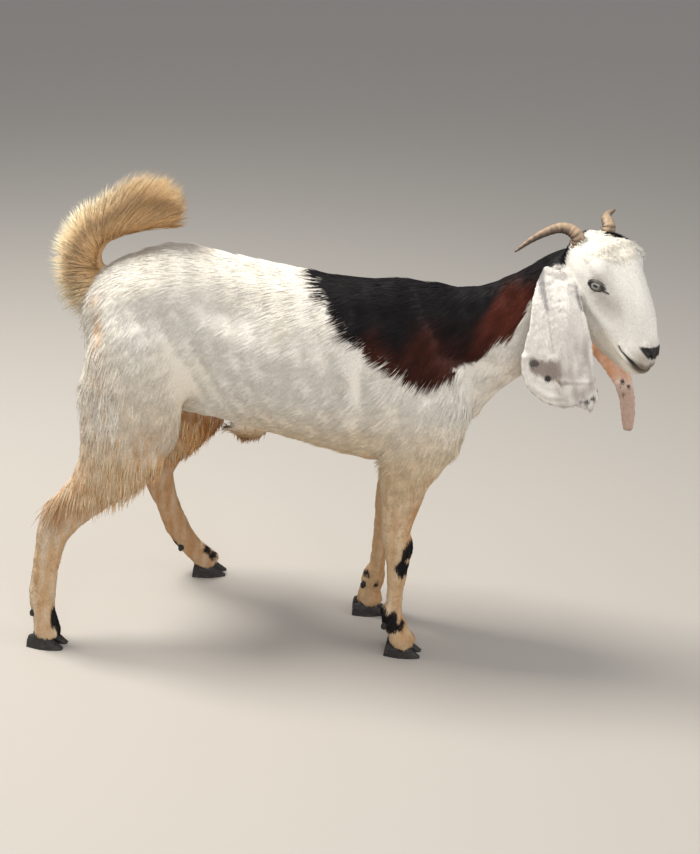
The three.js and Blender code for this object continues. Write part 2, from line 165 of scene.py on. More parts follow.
def mound(points, centre, radii):
    """A round hump, 1 at its centre."""
    return np.exp(-(((points - centre) / radii) ** 2).sum(1))


def ripple(points, size, seed):
    """Soft waves in all directions, about -1 to 1, with bumps of that size."""
    rng = np.random.default_rng(seed)
    total = 0
    for _ in range(7):
        way = rng.normal(size=3)
        way *= 2 * math.pi / (size * rng.uniform(0.7, 1.6)) / np.linalg.norm(way)
        total = total + np.sin(points @ way + rng.uniform(0, 6.28))
    return total / 3


def along(points, path):
    """Distance to a polyline, and how far down it the nearest place is, 0 to 1."""
    path = np.asarray(path, float)
    steps = np.linalg.norm(np.diff(path, axis=0), axis=1)
    reach = np.concatenate([[0], np.cumsum(steps)]) / steps.sum()
    best = np.full(len(points), 1e9)
    where = np.zeros(len(points))
    for a, b, u, v in zip(path[:-1], path[1:], reach[:-1], reach[1:]):
        t = np.clip((points - a) @ (b - a) / ((b - a) @ (b - a)), 0, 1)
        far = np.linalg.norm(points - a - t[:, None] * (b - a), axis=1)
        nearer = far < best
        best, where = np.where(nearer, far, best), np.where(nearer, u + t * (v - u), where)
    return best, where

# %% Read, even out and move the vertices of a mesh


def read_points(mesh):
    """The places of the vertices, one row each."""
    found = np.empty(len(mesh.vertices) * 3)
    mesh.vertices.foreach_get("co", found)
    return found.reshape(-1, 3)


def read_normals(mesh):
    """The way each vertex faces."""
    found = np.empty(len(mesh.vertices) * 3)
    mesh.vertex_normals.foreach_get("vector", found)
    return found.reshape(-1, 3)


def read_edges(mesh):
    """The two vertices of each edge."""
    found = np.empty(len(mesh.edges) * 2, np.int32)
    mesh.edges.foreach_get("vertices", found)
    return found.reshape(-1, 2)


def relax(values, edges, weight, rounds):
    """Evens out any numbers kept on the vertices with those of their neighbours."""
    a, b = edges.T
    size = len(values)
    count = np.maximum(np.bincount(edges.ravel(), minlength=size), 1)
    for _ in range(rounds):
        mean = np.stack(
            [
                np.bincount(a, values[b, k], size) + np.bincount(b, values[a, k], size)
                for k in range(values.shape[1])
            ],
            axis=1,
        )
        values = values + weight[:, None] * (mean / count[:, None] - values)
    return values


def place(mesh, points):
    """Moves the vertices."""
    mesh.vertices.foreach_set("co", points.ravel())
    mesh.update()

# %% Turn a mesh into a piece


def new_piece(name, mesh, slot, *nodes):
    """A finished mesh becomes a piece of the goat and stands for CAD nodes."""
    mesh.name = name
    ob = bpy.data.objects.new(name, mesh)
    scene.collection.objects.link(ob)
    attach(ob, "root")
    if nodes:
        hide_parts(*nodes)
    return ob

# %% [markdown]
# ## One skin
# A real goat has no joints in its hide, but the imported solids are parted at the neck,
# the knees and the ears. We copy the flesh, swell each copy by a hair's breadth so
# that neighbours run into each other, and remesh the lot into one surface. The tail's
# solid is mostly hair, so the skin has only the thin fleshy tail inside it.

# %% Gather the flesh
FLESH = [
    name
    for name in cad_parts
    if not name.startswith(("eye", "horn", "tail")) and "claw" not in name
]
TAIL_BONE = [
    (-0.385, 0, 0.700), (-0.425, 0, 0.716), (-0.452, 0, 0.738), (-0.453, 0, 0.765),
    (-0.437, 0, 0.790), (-0.405, 0, 0.806), (-0.365, 0, 0.819), (-0.330, 0, 0.828),
]  # fmt: skip
TAIL_RADII = np.array([24, 19, 15, 13, 12, 11, 9, 6]) * MM
SWELL_MM = 0.6
LID_BALL = 14.8 * MM


def merged_copy(node):
    """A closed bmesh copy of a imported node, which itself is left alone."""
    copy = bmesh.new()
    copy.from_mesh(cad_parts[node].data)
    bmesh.ops.remove_doubles(copy, verts=copy.verts, dist=1e-6)
    return copy


def sweep(bm, path, radii, sides):
    """A round limb: a circle extruded from station to station and closed at both ends."""
    path = [Vector(p) for p in path]
    ring = bmesh.ops.create_circle(bm, segments=sides, radius=1, cap_ends=True)["verts"]
    round_ = [v.co.copy() for v in ring]
    face = ring[0].link_faces[0]
    for i, (centre, radius) in enumerate(zip(path, radii)):
        if i:
            face = bmesh.ops.extrude_discrete_faces(bm, faces=[face])["faces"][0]
        way = path[min(i + 1, len(path) - 1)] - path[max(i - 1, 0)]
        turn = way.to_track_quat("Z", "Y").to_matrix()
        for v, r in zip(face.verts, round_):
            v.co = centre + turn @ (r * radius)


flesh = bmesh.new()
for name in FLESH:
    copy = merged_copy(name)
    copy.normal_update()
    swollen = [v.co + v.normal * SWELL_MM * MM for v in copy.verts]
    for v, co in zip(copy.verts, swollen):
        v.co = co
    limb = bpy.data.meshes.new("limb")
    copy.to_mesh(limb)
    flesh.from_mesh(limb)
    copy.free()
for start, end, r0, r1 in zip(TAIL_BONE[:-1], TAIL_BONE[1:], TAIL_RADII[:-1], TAIL_RADII[1:]):
    for t in (0, 0.25, 0.5, 0.75):
        centre = Vector(start).lerp(Vector(end), t) + Vector(ORIGIN)
        bmesh.ops.create_icosphere(
            flesh, subdivisions=2, radius=r0 + (r1 - r0) * t, matrix=Matrix.Translation(centre)
        )
for side in (-1, 1):
    centre = Vector(from_head(EYE * (1, side, 1)) + ORIGIN)
    bmesh.ops.create_icosphere(
        flesh, subdivisions=4, radius=LID_BALL, matrix=Matrix.Translation(centre)
    )
skin_mesh = bpy.data.meshes.new("skin")
flesh.to_mesh(skin_mesh)
flesh.free()
print("flesh gathered from", len(FLESH), "solids")

# %% [markdown]
# Voxel remeshing melts the pieces together. A grid of under three millimetres keeps
# the ears and the lids. Then a strong smoothing wipes the joins off the trunk, while
# head, ears and lower legs are only touched lightly, as their bones lie close under
# the skin.

# %% Melt the flesh into one skin
GRID = 2.6 * MM
MELT_ROUNDS = 90


def applied(mesh, *settings):
    """The mesh after modifiers, each given as (type, values)."""
    ob = bpy.data.objects.new("bench", mesh)
    scene.collection.objects.link(ob)
    for kind, values in settings:
        modifier = ob.modifiers.new(kind, kind)
        for key, value in values.items():
            setattr(modifier, key, value)
    made = bpy.data.meshes.new_from_object(
        ob.evaluated_get(bpy.context.evaluated_depsgraph_get())
    )
    bpy.data.objects.remove(ob)
    return made


solid_points, solid_faces, solid_names = [], [], []
for name in FLESH + ["tail"]:
    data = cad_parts[name].data
    first = len(solid_points)
    solid_points += (read_points(data) - ORIGIN).tolist()
    solid_faces += [[v + first for v in f.vertices] for f in data.polygons]
    solid_names += [name] * len(data.polygons)
solids = BVHTree.FromPolygons(solid_points, solid_faces)
PARTS = ("head", "ear_right", "ear_left", "neck", "trunk", "tail", "fore", "hind")


def parts_of(points, edges=None, rounds=4):
    """How much each place belongs to each part, 0 to 1, read from the nearest solid."""
    name_index = {n: next(i for i, p in enumerate(PARTS) if n.startswith(p)) for n in solid_names}
    face_part = np.array([name_index[n] for n in solid_names])
    nearest = np.array([solids.find_nearest(p)[2] for p in points.tolist()])
    share = np.eye(len(PARTS))[face_part[nearest]]
    if edges is not None:
        share = relax(share, edges, np.full(len(points), 0.5), rounds)
    return dict(zip(PARTS, share.T))


skin_mesh = applied(
    skin_mesh, ("REMESH", {"mode": "VOXEL", "voxel_size": GRID, "use_smooth_shade": True})
)
points = read_points(skin_mesh) - ORIGIN
edges = read_edges(skin_mesh)
packed = BVHTree.FromPolygons(points.tolist(), [f.vertices[:] for f in skin_mesh.polygons])
part = parts_of(points, edges)
head, ears = part["head"], part["ear_right"] + part["ear_left"]
legs = ease(0.40 - points[:, 2], 0, 0.12) * (1 - ears)
soft = (1 - head * 0.88) * (1 - ears * 0.85) * (1 - legs * 0.75)
soft = soft * (1 - 0.8 * part["tail"])
soft = soft * (1 - 0.85 * mound(points, (-0.19, 0, 0.44), (0.055, 0.03, 0.03)))
points = relax(points, edges, 0.02 + 0.48 * soft, MELT_ROUNDS)
print("skin has", len(points), "vertices")

# %% [markdown]
# ## Room for the coat
# The solids reach to the tips of the hair, so the hide itself lies a little deeper:
# a few millimetres on the ribs, more where long feathers hang from the buttocks and
# almost nothing on face and shins. We measure how far each vertex is from the packed
# surface and ease it to the depth the coat needs there.

# %% Sink the skin by the coat's depth
SINK_ROUNDS, FOLD_ROUNDS = 160, 420
THIGH_FRONT = [(-0.330, 0, 0.670), (-0.280, 0, 0.600), (-0.240, 0, 0.550), (-0.225, 0, 0.490)]


def coat_depth(points, head, ears):
    """Thickness of the coat at each place, in metres."""
    x, _, z = points.T
    buttock = ease(-x - 0.35 * (z - 0.3), 0.38, 0.46) * ease(z, 0.28, 0.36) * ease(0.68 - z, 0, 0.06)
    depth = 4.2 + 5.5 * buttock
    depth = depth + (1.4 - depth) * ease(0.36 - z, 0, 0.12)
    depth = depth + (1.3 - depth) * head
    depth = depth + (0.4 - depth) * np.clip(ears * 1.5, 0, 1)
    return depth * MM


place(skin_mesh, points + ORIGIN)
normals = read_normals(skin_mesh)
gap = np.zeros(len(points))
for i, p in enumerate(points.tolist()):
    hit, way, _, far = packed.find_nearest(p)
    gap[i] = math.copysign(far, (Vector(p) - hit).dot(way))
depth = coat_depth(points, head, ears)
move = -depth - gap
move = relax(move[:, None], edges, 0.04 + 0.46 * soft, SINK_ROUNDS)
points = points + normals * move
fold, _ = along(points * (1, 0, 1), THIGH_FRONT)
fold = ease(0.085 - fold, 0, 0.05) * ease(np.abs(points[:, 1]), 0.05, 0.08)
points = relax(points, edges, 0.5 * fold, FOLD_ROUNDS)
place(skin_mesh, points + ORIGIN)
print("deepest", (depth.max() / MM).round(1), "mm under the coat's tips")

# %% [markdown]
# ## Muscle and bone
# Under a short coat the skeleton still reads: the hip bones and the hollow of the
# flank behind the ribs, the shoulder blade, the point of the elbow, the groove in
# front of the Achilles tendon. Each is one soft hump or dent, made on both sides.

# %% Body forms
BODY_FORMS = {
    "hip bone": ((-0.240, 0.085, 0.762), (0.030, 0.030, 0.022), 7),
    "flank hollow": ((-0.190, 0.100, 0.705), (0.066, 0.040, 0.032), -11),
    "thigh": ((-0.345, 0.110, 0.600), (0.060, 0.050, 0.090), 4),
    "hip ridge": ((-0.350, 0.085, 0.722), (0.062, 0.040, 0.026), 6),
    "last ribs": ((-0.095, 0.120, 0.650), (0.045, 0.050, 0.080), 7),
    "behind the shoulder": ((0.045, 0.110, 0.600), (0.022, 0.050, 0.090), -6),
    "shoulder blade": ((0.120, 0.090, 0.690), (0.035, 0.040, 0.070), 4),
    "shoulder point": ((0.205, 0.080, 0.570), (0.028, 0.030, 0.028), 7),
    "neck groove": ((0.235, 0.060, 0.640), (0.050, 0.030, 0.016), -5),
    "breast groove": ((0.250, 0.000, 0.590), (0.030, 0.012, 0.060), -6),
    "elbow": ((0.092, 0.085, 0.440), (0.020, 0.025, 0.026), 6),
    "forearm muscle": ((0.150, 0.085, 0.420), (0.020, 0.020, 0.040), 4),
    "pin bone": ((-0.440, 0.050, 0.690), (0.020, 0.022, 0.022), 5),
}
x, y, z = points.T
lift = np.zeros(len(points))
mirrored = points * (1, 0, 1) + np.abs(y)[:, None] * (0, 1, 0)
for centre, radii, height in BODY_FORMS.values():
    lift += height * MM * mound(mirrored, np.array(centre), np.array(radii))
HOCKS = {-1: (-0.517, -0.121, 0.262), 1: (-0.388, 0.134, 0.258)}
KNEES = {-1: (0.128, -0.065, 0.252), 1: (0.099, 0.079, 0.250)}
for side in (-1, 1):
    hock, knee = np.array(HOCKS[side]), np.array(KNEES[side])
    tendon = hock + (0.012, -0.012 * side, 0.052)
    lift -= 4 * MM * mound(points, tendon, (0.010, 0.03, 0.034)) * (np.abs(y - hock[1]) > 0.004)
    lift += 2.2 * MM * mound(points, knee + (0.012, 0, 0.006), (0.014, 0.02, 0.02))
    lift -= 1.8 * MM * mound(points, knee + (-0.004, 0.0, -0.060), (0.006, 0.03, 0.045))
    lift -= 1.8 * MM * mound(points, hock + (-0.004, 0.0, -0.075), (0.006, 0.03, 0.045))
lift += 0.5 * MM * ripple(points, 0.035, 4) * (1 - head) * (1 - ears)
lift = relax(lift[:, None], edges, np.full(len(points), 0.5), 3)
points = points + read_normals(skin_mesh) * lift
place(skin_mesh, points + ORIGIN)
print(len(BODY_FORMS), "forms of muscle and bone, up to", (lift.max() / MM).round(1), "mm high")

# %% [markdown]
# ## The head
# Lids, nostrils and lips are folds of a millimetre or two, so the skin needs finer
# cells there. We cut the cells of the whole face in half, and those round the eyes
# and the muzzle once more, before anything is sculpted.

# %% Finer cells on the face
LEAN = np.array([0.78, -0.22, 0.585]) / np.linalg.norm([0.78, -0.22, 0.585])
GAZE = np.array([0.10, 0.95, 0.20]) - (np.array([0.10, 0.95, 0.20]) @ LEAN) * LEAN
GAZE /= np.linalg.norm(GAZE)
BROW = np.cross(LEAN, GAZE)


def face_places(points):
    """Head places with both sides folded together, and the side each is on."""
    local = to_head(points)
    side = np.where(local[:, 1] < 0, -1.0, 1.0)
    return local * (1, 0, 1) + np.abs(local[:, 1])[:, None] * (0, 1, 0), side


def refine(mesh, near):
    """Splits in two every edge whose ends are both near."""
    work = bmesh.new()
    work.from_mesh(mesh)
    work.edges.ensure_lookup_table()
    both = near[read_edges(mesh)].all(1)
    chosen = [work.edges[i] for i in np.flatnonzero(both)]
    bmesh.ops.subdivide_edges(work, edges=chosen, cuts=1, use_grid_fill=True)
    work.to_mesh(mesh)
    work.free()


refine(skin_mesh, (head > 0.5) & (ears < 0.3) & (to_head(points)[:, 0] > 0.03))
points = read_points(skin_mesh) - ORIGIN
folded, _ = face_places(points)
part = parts_of(points)
head, ears = part["head"], part["ear_right"] + part["ear_left"]
eyes = np.linalg.norm(folded - EYE, axis=1) < 0.024
muzzle = (folded[:, 0] > 0.188) & (head > 0.5) & (ears < 0.3)
refine(skin_mesh, eyes | muzzle)
points = read_points(skin_mesh) - ORIGIN
edges = read_edges(skin_mesh)
part = parts_of(points, edges, 8)
head, ears = part["head"], part["ear_right"] + part["ear_left"]
points = relax(points, edges, 0.5 * head, 3)
print("skin now has", len(points), "vertices")

# %% [markdown]
# The lids are pushed out of the ball of flesh over each eye: inside an almond the
# skin drops behind the eyeball, so its edge becomes the rim of the lids. The mouth
# and nostrils are grooves along short paths, with the lip swelling beside them.

# %% Lids, nostrils, mouth and cheeks
MOUTH = [
    (0.189, 0.031, -0.0550), (0.199, 0.030, -0.0570), (0.211, 0.027, -0.0548),
    (0.224, 0.021, -0.0520), (0.236, 0.012, -0.0520), (0.250, 0.000, -0.0500),
]  # fmt: skip
NOSTRIL = [
    (0.2125, 0.0205, -0.013), (0.220, 0.0185, -0.0175),
    (0.229, 0.0135, -0.0205), (0.2335, 0.009, -0.0265),
]  # fmt: skip
LID_REACH = 0.0138
TEAR = [(0.0965, 0.046, -0.0145), (0.103, 0.0435, -0.011), (0.1085, 0.041, -0.009)]


def beside(folded, path):
    """Distance to a path seen from the side of the face, and how far along it."""
    return along(folded * (1, 0, 1), np.array(path) * (1, 0, 1))


def almond(folded):
    """How far inside the opening of the lids a place is (m), and its spot on the eye."""
    q = folded - EYE
    u, v, w = q @ LEAN, q @ BROW + 0.001, q @ GAZE
    arch = np.clip(1 - (u / LID_REACH) ** 2, 0, 1) ** 0.75
    upper, lower = 0.0066 * arch, 0.0068 * arch
    inside = np.minimum(upper - v, v + lower)
    inside = np.where(np.abs(u) < LID_REACH, inside, -0.01)
    return np.where(w > 0, inside, -0.01), u, v, w, upper, lower


FACE_FORMS = {
    "brow": ((0.068, 0.042, 0.004), (0.020, 0.016, 0.011), 3.0),
    "jaw muscle": ((0.060, 0.056, -0.068), (0.034, 0.02, 0.024), 2.2),
    "hollow before the eye": ((0.132, 0.046, -0.024), (0.026, 0.02, 0.016), -4.0),
    "cheek ridge": ((0.120, 0.048, -0.052), (0.036, 0.02, 0.008), 1.6),
    "below the cheek": ((0.150, 0.040, -0.070), (0.026, 0.02, 0.012), -1.6),
    "forehead furrow": ((0.050, 0.0, 0.014), (0.03, 0.008, 0.02), -1.5),
    "upper lip": ((0.205, 0.026, -0.036), (0.018, 0.02, 0.012), 1.5),
    "nose bridge": ((0.145, 0.0, 0.003), (0.050, 0.030, 0.025), 4.0),
    "forehead": ((0.046, 0.034, 0.012), (0.026, 0.022, 0.014), 6.0),
    "behind the horn": ((-0.009, 0.036, -0.014), (0.015, 0.016, 0.016), -7.5),
    "poll": ((0.004, 0.0, 0.010), (0.020, 0.018, 0.020), -3.0),
}


def sculpt_face(points, normals, head):
    """The folds of the face, as new places for the skin's vertices."""
    folded, side = face_places(points)
    s = folded[:, 0]
    lift = np.zeros(len(points))
    for centre, radii, height in FACE_FORMS.values():
        lift += height * MM * mound(folded, centre, radii)
    wall, _ = along(folded, NOSTRIL)
    lift += 1.5 * MM * np.exp(-(((wall - 0.0058) / 0.0022) ** 2)) * (s > 0.2)
    lift -= 1.8 * MM * mound(folded, (0.237, 0.0, -0.030), (0.02, 0.0022, 0.018))
    lips, _ = beside(folded, MOUTH)
    lift += 1.6 * MM * np.exp(-(((lips - 0.006) / 0.004) ** 2)) * (s > 0.185)
    inside, u, v, w, upper, lower = almond(folded)
    near_eye = (w > 0.002) & (np.abs(u) < 0.016)
    lift -= 1.1 * MM * np.exp(-(((v - upper - 0.0048) / 0.0014) ** 2)) * near_eye
    lift -= 0.8 * MM * np.exp(-(((v + lower + 0.0050) / 0.0015) ** 2)) * near_eye
    lift += 0.8 * MM * np.exp(-(((inside + 0.0014) / 0.0012) ** 2)) * near_eye
    lift += 1.0 * MM * np.exp(-(((v - upper - 0.0016) / 0.0014) ** 2)) * near_eye
    tears, _ = beside(folded, TEAR)
    lift -= 1.3 * MM * np.exp(-((tears / 0.0016) ** 2))
    moved = points + normals * (lift * head)[:, None]
    folded, side = face_places(moved)
    q = folded - EYE
    away = np.linalg.norm(q, axis=1)
    drop = ease(inside, -0.0003, 0.0008) * (away < 0.02)
    folded = EYE + q * (1 + drop * (np.minimum(10.2 * MM / away, 1) - 1))[:, None]
    into = np.exp(-((wall / 0.0027) ** 2)) * (s > 0.2)
    folded = folded + into[:, None] * 7.5 * MM * np.array([-0.62, -0.50, -0.1])
    slit = np.exp(-((lips / 0.0013) ** 2)) * ease(s, 0.18, 0.186)
    folded = folded + slit[:, None] * 3.4 * MM * np.array([-0.75, -0.55, 0.1])
    return from_head(folded * (1, 0, 1) + (folded[:, 1] * side)[:, None] * (0, 1, 0))


place(skin_mesh, points + ORIGIN)
points = sculpt_face(points, read_normals(skin_mesh), head)
place(skin_mesh, points + ORIGIN)
inside, *_ = almond(face_places(points)[0])
points = relax(points, edges, 0.35 * head * (inside < -0.002), 1)
place(skin_mesh, points + ORIGIN)
print(len(FACE_FORMS), "soft forms, then lids, nostrils and mouth")

# %% [markdown]
# ## The ears
# Lop ears are long leathery leaves, folded where they leave the skull and curling out
# at the end, so the bare inner side shows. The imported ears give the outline. Long
# ridges and the curl are pushed into the skin, both faces together, so the leaf keeps
# its thickness.

# %% Ear folds
EAR_FOLDS = {
    "near rear fold": ([
        (0.340, -0.10, 0.800), (0.347, -0.10, 0.763),
        (0.356, -0.10, 0.715), (0.362, -0.10, 0.676),
    ], 0.0045, 3.0),
    "near rear groove": ([
        (0.330, -0.10, 0.815), (0.337, -0.10, 0.788), (0.347, -0.10, 0.757),
        (0.355, -0.10, 0.719), (0.364, -0.10, 0.688),
    ], 0.0045, -3.0),
    "near wrinkle": ([(0.350, -0.10, 0.796), (0.356, -0.10, 0.805), (0.374, -0.10, 0.802)], 0.0035, -2.0),
    "near middle ridge": ([
        (0.376, -0.10, 0.800), (0.384, -0.10, 0.740),
        (0.392, -0.10, 0.680), (0.398, -0.10, 0.640),
    ], 0.0060, 2.4),
    "near front groove": ([
        (0.398, -0.10, 0.790), (0.408, -0.10, 0.730),
        (0.414, -0.10, 0.670),
    ], 0.0060, -1.8),
    "near low seam": ([(0.380, -0.10, 0.640), (0.402, -0.10, 0.640), (0.432, -0.10, 0.643)], 0.0030, 3.2),
    "near root fold": ([(0.366, -0.09, 0.818), (0.378, -0.09, 0.806), (0.394, -0.09, 0.808)], 0.0040, -2.6),
    "near bowl": ([(0.340, -0.10, 0.655), (0.352, -0.10, 0.647), (0.368, -0.10, 0.636)], 0.0150, -4.5),
    "near rim": ([
        (0.322, -0.10, 0.672), (0.334, -0.10, 0.622), (0.362, -0.10, 0.606),
        (0.390, -0.10, 0.606), (0.384, -0.10, 0.640),
    ], 0.0060, 4.0),
    "far ridge": ([
        (0.452, 0.04, 0.800), (0.462, 0.04, 0.740),
        (0.470, 0.04, 0.660), (0.500, 0.04, 0.590),
    ], 0.0060, 2.4),
    "far groove": ([(0.438, 0.04, 0.790), (0.444, 0.04, 0.720), (0.456, 0.04, 0.640)], 0.0060, -2.2),
}  # fmt: skip
EAR_OUT = {"near": np.array([-0.3, -0.95, 0.0]), "far": np.array([0.35, 0.94, 0.0])}
LEAF_CELL = 4 * MM


def leaf_shift(points, mine):
    """How far sideways each vertex of an ear moves to take the creases out of the leaf."""
    chosen = np.flatnonzero(mine > 0.5)
    cell = ((points[chosen][:, [0, 2]] - points[chosen][:, [0, 2]].min(0)) / LEAF_CELL).astype(int) + 1
    size = cell.max(0) + 2
    here = cell[:, 0] * size[1] + cell[:, 1]
    count = np.bincount(here, minlength=size.prod()).reshape(size)
    total = np.bincount(here, points[chosen, 1], size.prod()).reshape(size)
    middle = total / np.maximum(count, 1)
    used = (count > 0) * 1.0
    even = middle
    for _ in range(26):
        sums, seen = even * used, used.copy()
        for axis in (0, 1):
            for step in (-1, 1):
                sums = sums + np.roll(even * used, step, axis)
                seen = seen + np.roll(used, step, axis)
        even = np.where(used > 0, sums / np.maximum(seen, 1), 0)
    shift = np.zeros(len(points))
    shift[chosen] = (even - middle).ravel()[here]
    return shift


for ear in ("ear_right", "ear_left"):
    sideways = relax(leaf_shift(points, part[ear])[:, None], edges, np.full(len(points), 0.5), 10)
    points = points + sideways * (0.0, 1.0, 0.0)
shift = np.zeros_like(points)
for name, (path, width, height) in EAR_FOLDS.items():
    out = EAR_OUT[name.split()[0]]
    mine = part["ear_right" if out[1] < 0 else "ear_left"]
    flat = points * (1, 0, 1)
    far, _ = along(flat, np.array(path) * (1, 0, 1))
    shift += (np.exp(-((far / width) ** 2)) * mine * height * MM)[:, None] * out
EAR_EDGE = [
    ((0.418, 0.588), (0.020, 0.016), (0.0, 9.0)), ((0.450, 0.594), (0.008, 0.010), (-2.0, 10.0)),
    ((0.440, 0.584), (0.005, 0.008), (3.0, -5.0)), ((0.316, 0.664), (0.012, 0.030), (-4.0, 0.0)),
]  # fmt: skip
for (cx, cz), (wide, tall), (dx, dz) in EAR_EDGE:
    near_by = mound(points * (1, 0, 1), (cx, 0, cz), (wide, 1, tall)) * part["ear_right"]
    shift += near_by[:, None] * np.array([dx, 0, dz]) * MM
points = points + relax(shift, edges, np.full(len(points), 0.5), 2)
place(skin_mesh, points + ORIGIN)
print(len(EAR_FOLDS), "folds in the ears")

# %% [markdown]
# ## Thin out the hidden cells
# The trunk and legs disappear under hair, so they can do with far fewer triangles
# than the face. Decimate would spend its whole cut on one of the two, so each has a
# turn of its own, led by a vertex group.

# %% Decimate
TRUNK_TRIANGLES, HEAD_TRIANGLES = 84000, 70000


def thin_out(mesh, share, goal):
    """Takes the triangles of one region, told by its vertex shares, down to a goal."""
    ob = bpy.data.objects.new("bench", mesh)
    ob.vertex_groups.clear()
    group = ob.vertex_groups.new(name="region")
    for level in range(5):
        chosen = np.flatnonzero(np.round(share * 4) == level)
        group.add(chosen.tolist(), level / 4, "REPLACE")
    scene.collection.objects.link(ob)
    faces = np.array([f.vertices[:3] for f in mesh.polygons])
    sizes = np.array([f.loop_total - 2 for f in mesh.polygons])
    mine = (sizes * (share[faces].mean(1) > 0.5)).sum()
    thin = ob.modifiers.new("thin", "DECIMATE")
    thin.ratio = min(1, (sizes.sum() - mine + goal) / sizes.sum())
    thin.vertex_group, thin.vertex_group_factor = "region", 1.0
    made = bpy.data.meshes.new_from_object(ob.evaluated_get(bpy.context.evaluated_depsgraph_get()))
    bpy.data.objects.remove(ob)
    print("thinned from", sizes.sum(), "to", sum(f.loop_total - 2 for f in made.polygons))
    return made


fine = np.clip(head + ears, 0, 1)
skin_mesh = thin_out(skin_mesh, (fine < 0.5) * 1.0, TRUNK_TRIANGLES)
part = parts_of(read_points(skin_mesh) - ORIGIN)
skin_mesh = thin_out(skin_mesh, (part["head"] > 0.5) * 1.0, HEAD_TRIANGLES)
skin_mesh.polygons.foreach_set("use_smooth", np.ones(len(skin_mesh.polygons), bool))

# %% [markdown]
# ## The markings
# The goat is white with one dark saddle that runs from behind the withers over the
# upper neck to the horns: black on top, mahogany below. Tan warms the thighs, the
# brisket and the shins. Each colour is a short formula of the place on the body, and
# both skin and tufts ask it, so they can never disagree.

# %% Colours of the coat
WHITE, CREAM, TAN = np.array([[0.88, 0.84, 0.765], [0.72, 0.60, 0.42], [0.56, 0.33, 0.15]])
RUST, MAHOGANY, BLACK = np.array([[0.36, 0.16, 0.05], [0.050, 0.011, 0.006], [0.006, 0.005, 0.006]])
REDDISH, GREY, PINK = np.array([[0.078, 0.017, 0.009], [0.36, 0.33, 0.30], [0.50, 0.33, 0.25]])
LIP, NOSE, BACKLIT_AMBER = np.array([[0.36, 0.31, 0.25], [0.020, 0.018, 0.018], [0.62, 0.25, 0.09]])
PATCH_GREY = (0.32, 0.26, 0.23)
HAIR_WAYS = {
    "head": HEAD @ (-1, 0, -0.25), "neck": (-0.60, 0, -0.80), "trunk": (-0.85, 0, -0.50),
    "ear_right": (0.12, 0, -1), "ear_left": (0.30, 0, -0.95), "tail": (0.10, 0, 1),
    "fore": (-0.10, 0, -1), "hind": (-0.12, 0, -1),
}  # fmt: skip


def combed(points, part):
    """Places squeezed along the fall of the hair: noise read there runs in streaks."""
    mine = np.argmax([part[name] for name in HAIR_WAYS], axis=0)
    ways = np.array([np.array(way) / np.linalg.norm(way) for way in HAIR_WAYS.values()])[mine]
    return points - 0.86 * (points * ways).sum(1)[:, None] * ways


def mix(colour, other, share):
    """Colours or directions drawn towards another, each place by its own share."""
    return colour + (other - colour) * np.clip(share, 0, 1)[:, None]


def paint(colour, layers):
    """Lays colours over one another: each layer is a colour and its shares."""
    for other, share in layers:
        colour = mix(colour, other, share)
    return colour


def read_place(points, part, facing):
    """What the markings ask of each place: where it is, its part and its streaks."""
    at = SimpleNamespace(points=points, part=part, facing=facing, flat=points * (1, 0, 1))
    at.folded, _ = face_places(points)
    at.combed = combed(points, part)
    at.x, at.y, at.z = points.T
    at.head, at.ears = part["head"], part["ear_right"] + part["ear_left"]
    at.legs = part["fore"] + part["hind"]
    at.body = np.clip(1 - at.head - at.ears, 0, 1)
    at.cloud, at.streak = ripple(points, 0.09, 1), ripple(at.combed, 0.014, 2)
    at.wisp = 0.5 * at.cloud + 0.5 * at.streak
    return at

# %% [markdown]
# Warm colours could be a texture painted by hand, but then tufts and skin would need
# it twice. As layers, each a colour and a soft share, they read like a recipe: cream
# first, tan over it, rust only where the legs turn to the front or inside.

# %% Warm tones
PIN_STREAK = np.array([(-0.437, 0, 0.700), (-0.424, 0, 0.660), (-0.417, 0, 0.610), (-0.424, 0, 0.560)])


def warm_body(at):
    """Cream and tan where the white warms: rump, belly, throat and brisket."""
    rump = mound(at.points, (-0.14, 0, 0.80), (0.10, 0.12, 0.03))
    # Painted shade: the second mound is a cream line along the near flank hollow; the first is the loin's
    # own cream.
    rump = rump + mound(at.points, (-0.17, -0.1, 0.735), (0.07, 0.03, 0.014))
    # Low on the ribs and belly the cream and tan are partly the coat's own colour and partly painted warm
    # light bounced up from the ground.
    under = ease(0.58 - at.z, 0, 0.13) * ease(at.x, -0.24, -0.1) * at.body
    throat = at.part["neck"] * ease(0.69 - at.z, 0, 0.10) * ease(at.x, 0.24, 0.32)
    brisket = mound(at.points, (0.235, 0, 0.50), (0.05, 0.06, 0.07)) * at.body
    return [
        (CREAM, at.body * (0.07 + 0.12 * at.wisp)),
        (CREAM, 0.7 * rump * (0.7 + 0.5 * at.streak)),
        (CREAM, 0.85 * under),
        (TAN, (0.24 + 0.24 * ease(0.475 - at.z, 0, 0.05)) * under * (0.8 + 0.4 * at.streak)),
        (TAN, 0.34 * throat * (0.8 + 0.4 * at.streak)),
        (TAN, 0.50 * brisket * (0.7 + 0.6 * at.streak)),
    ]


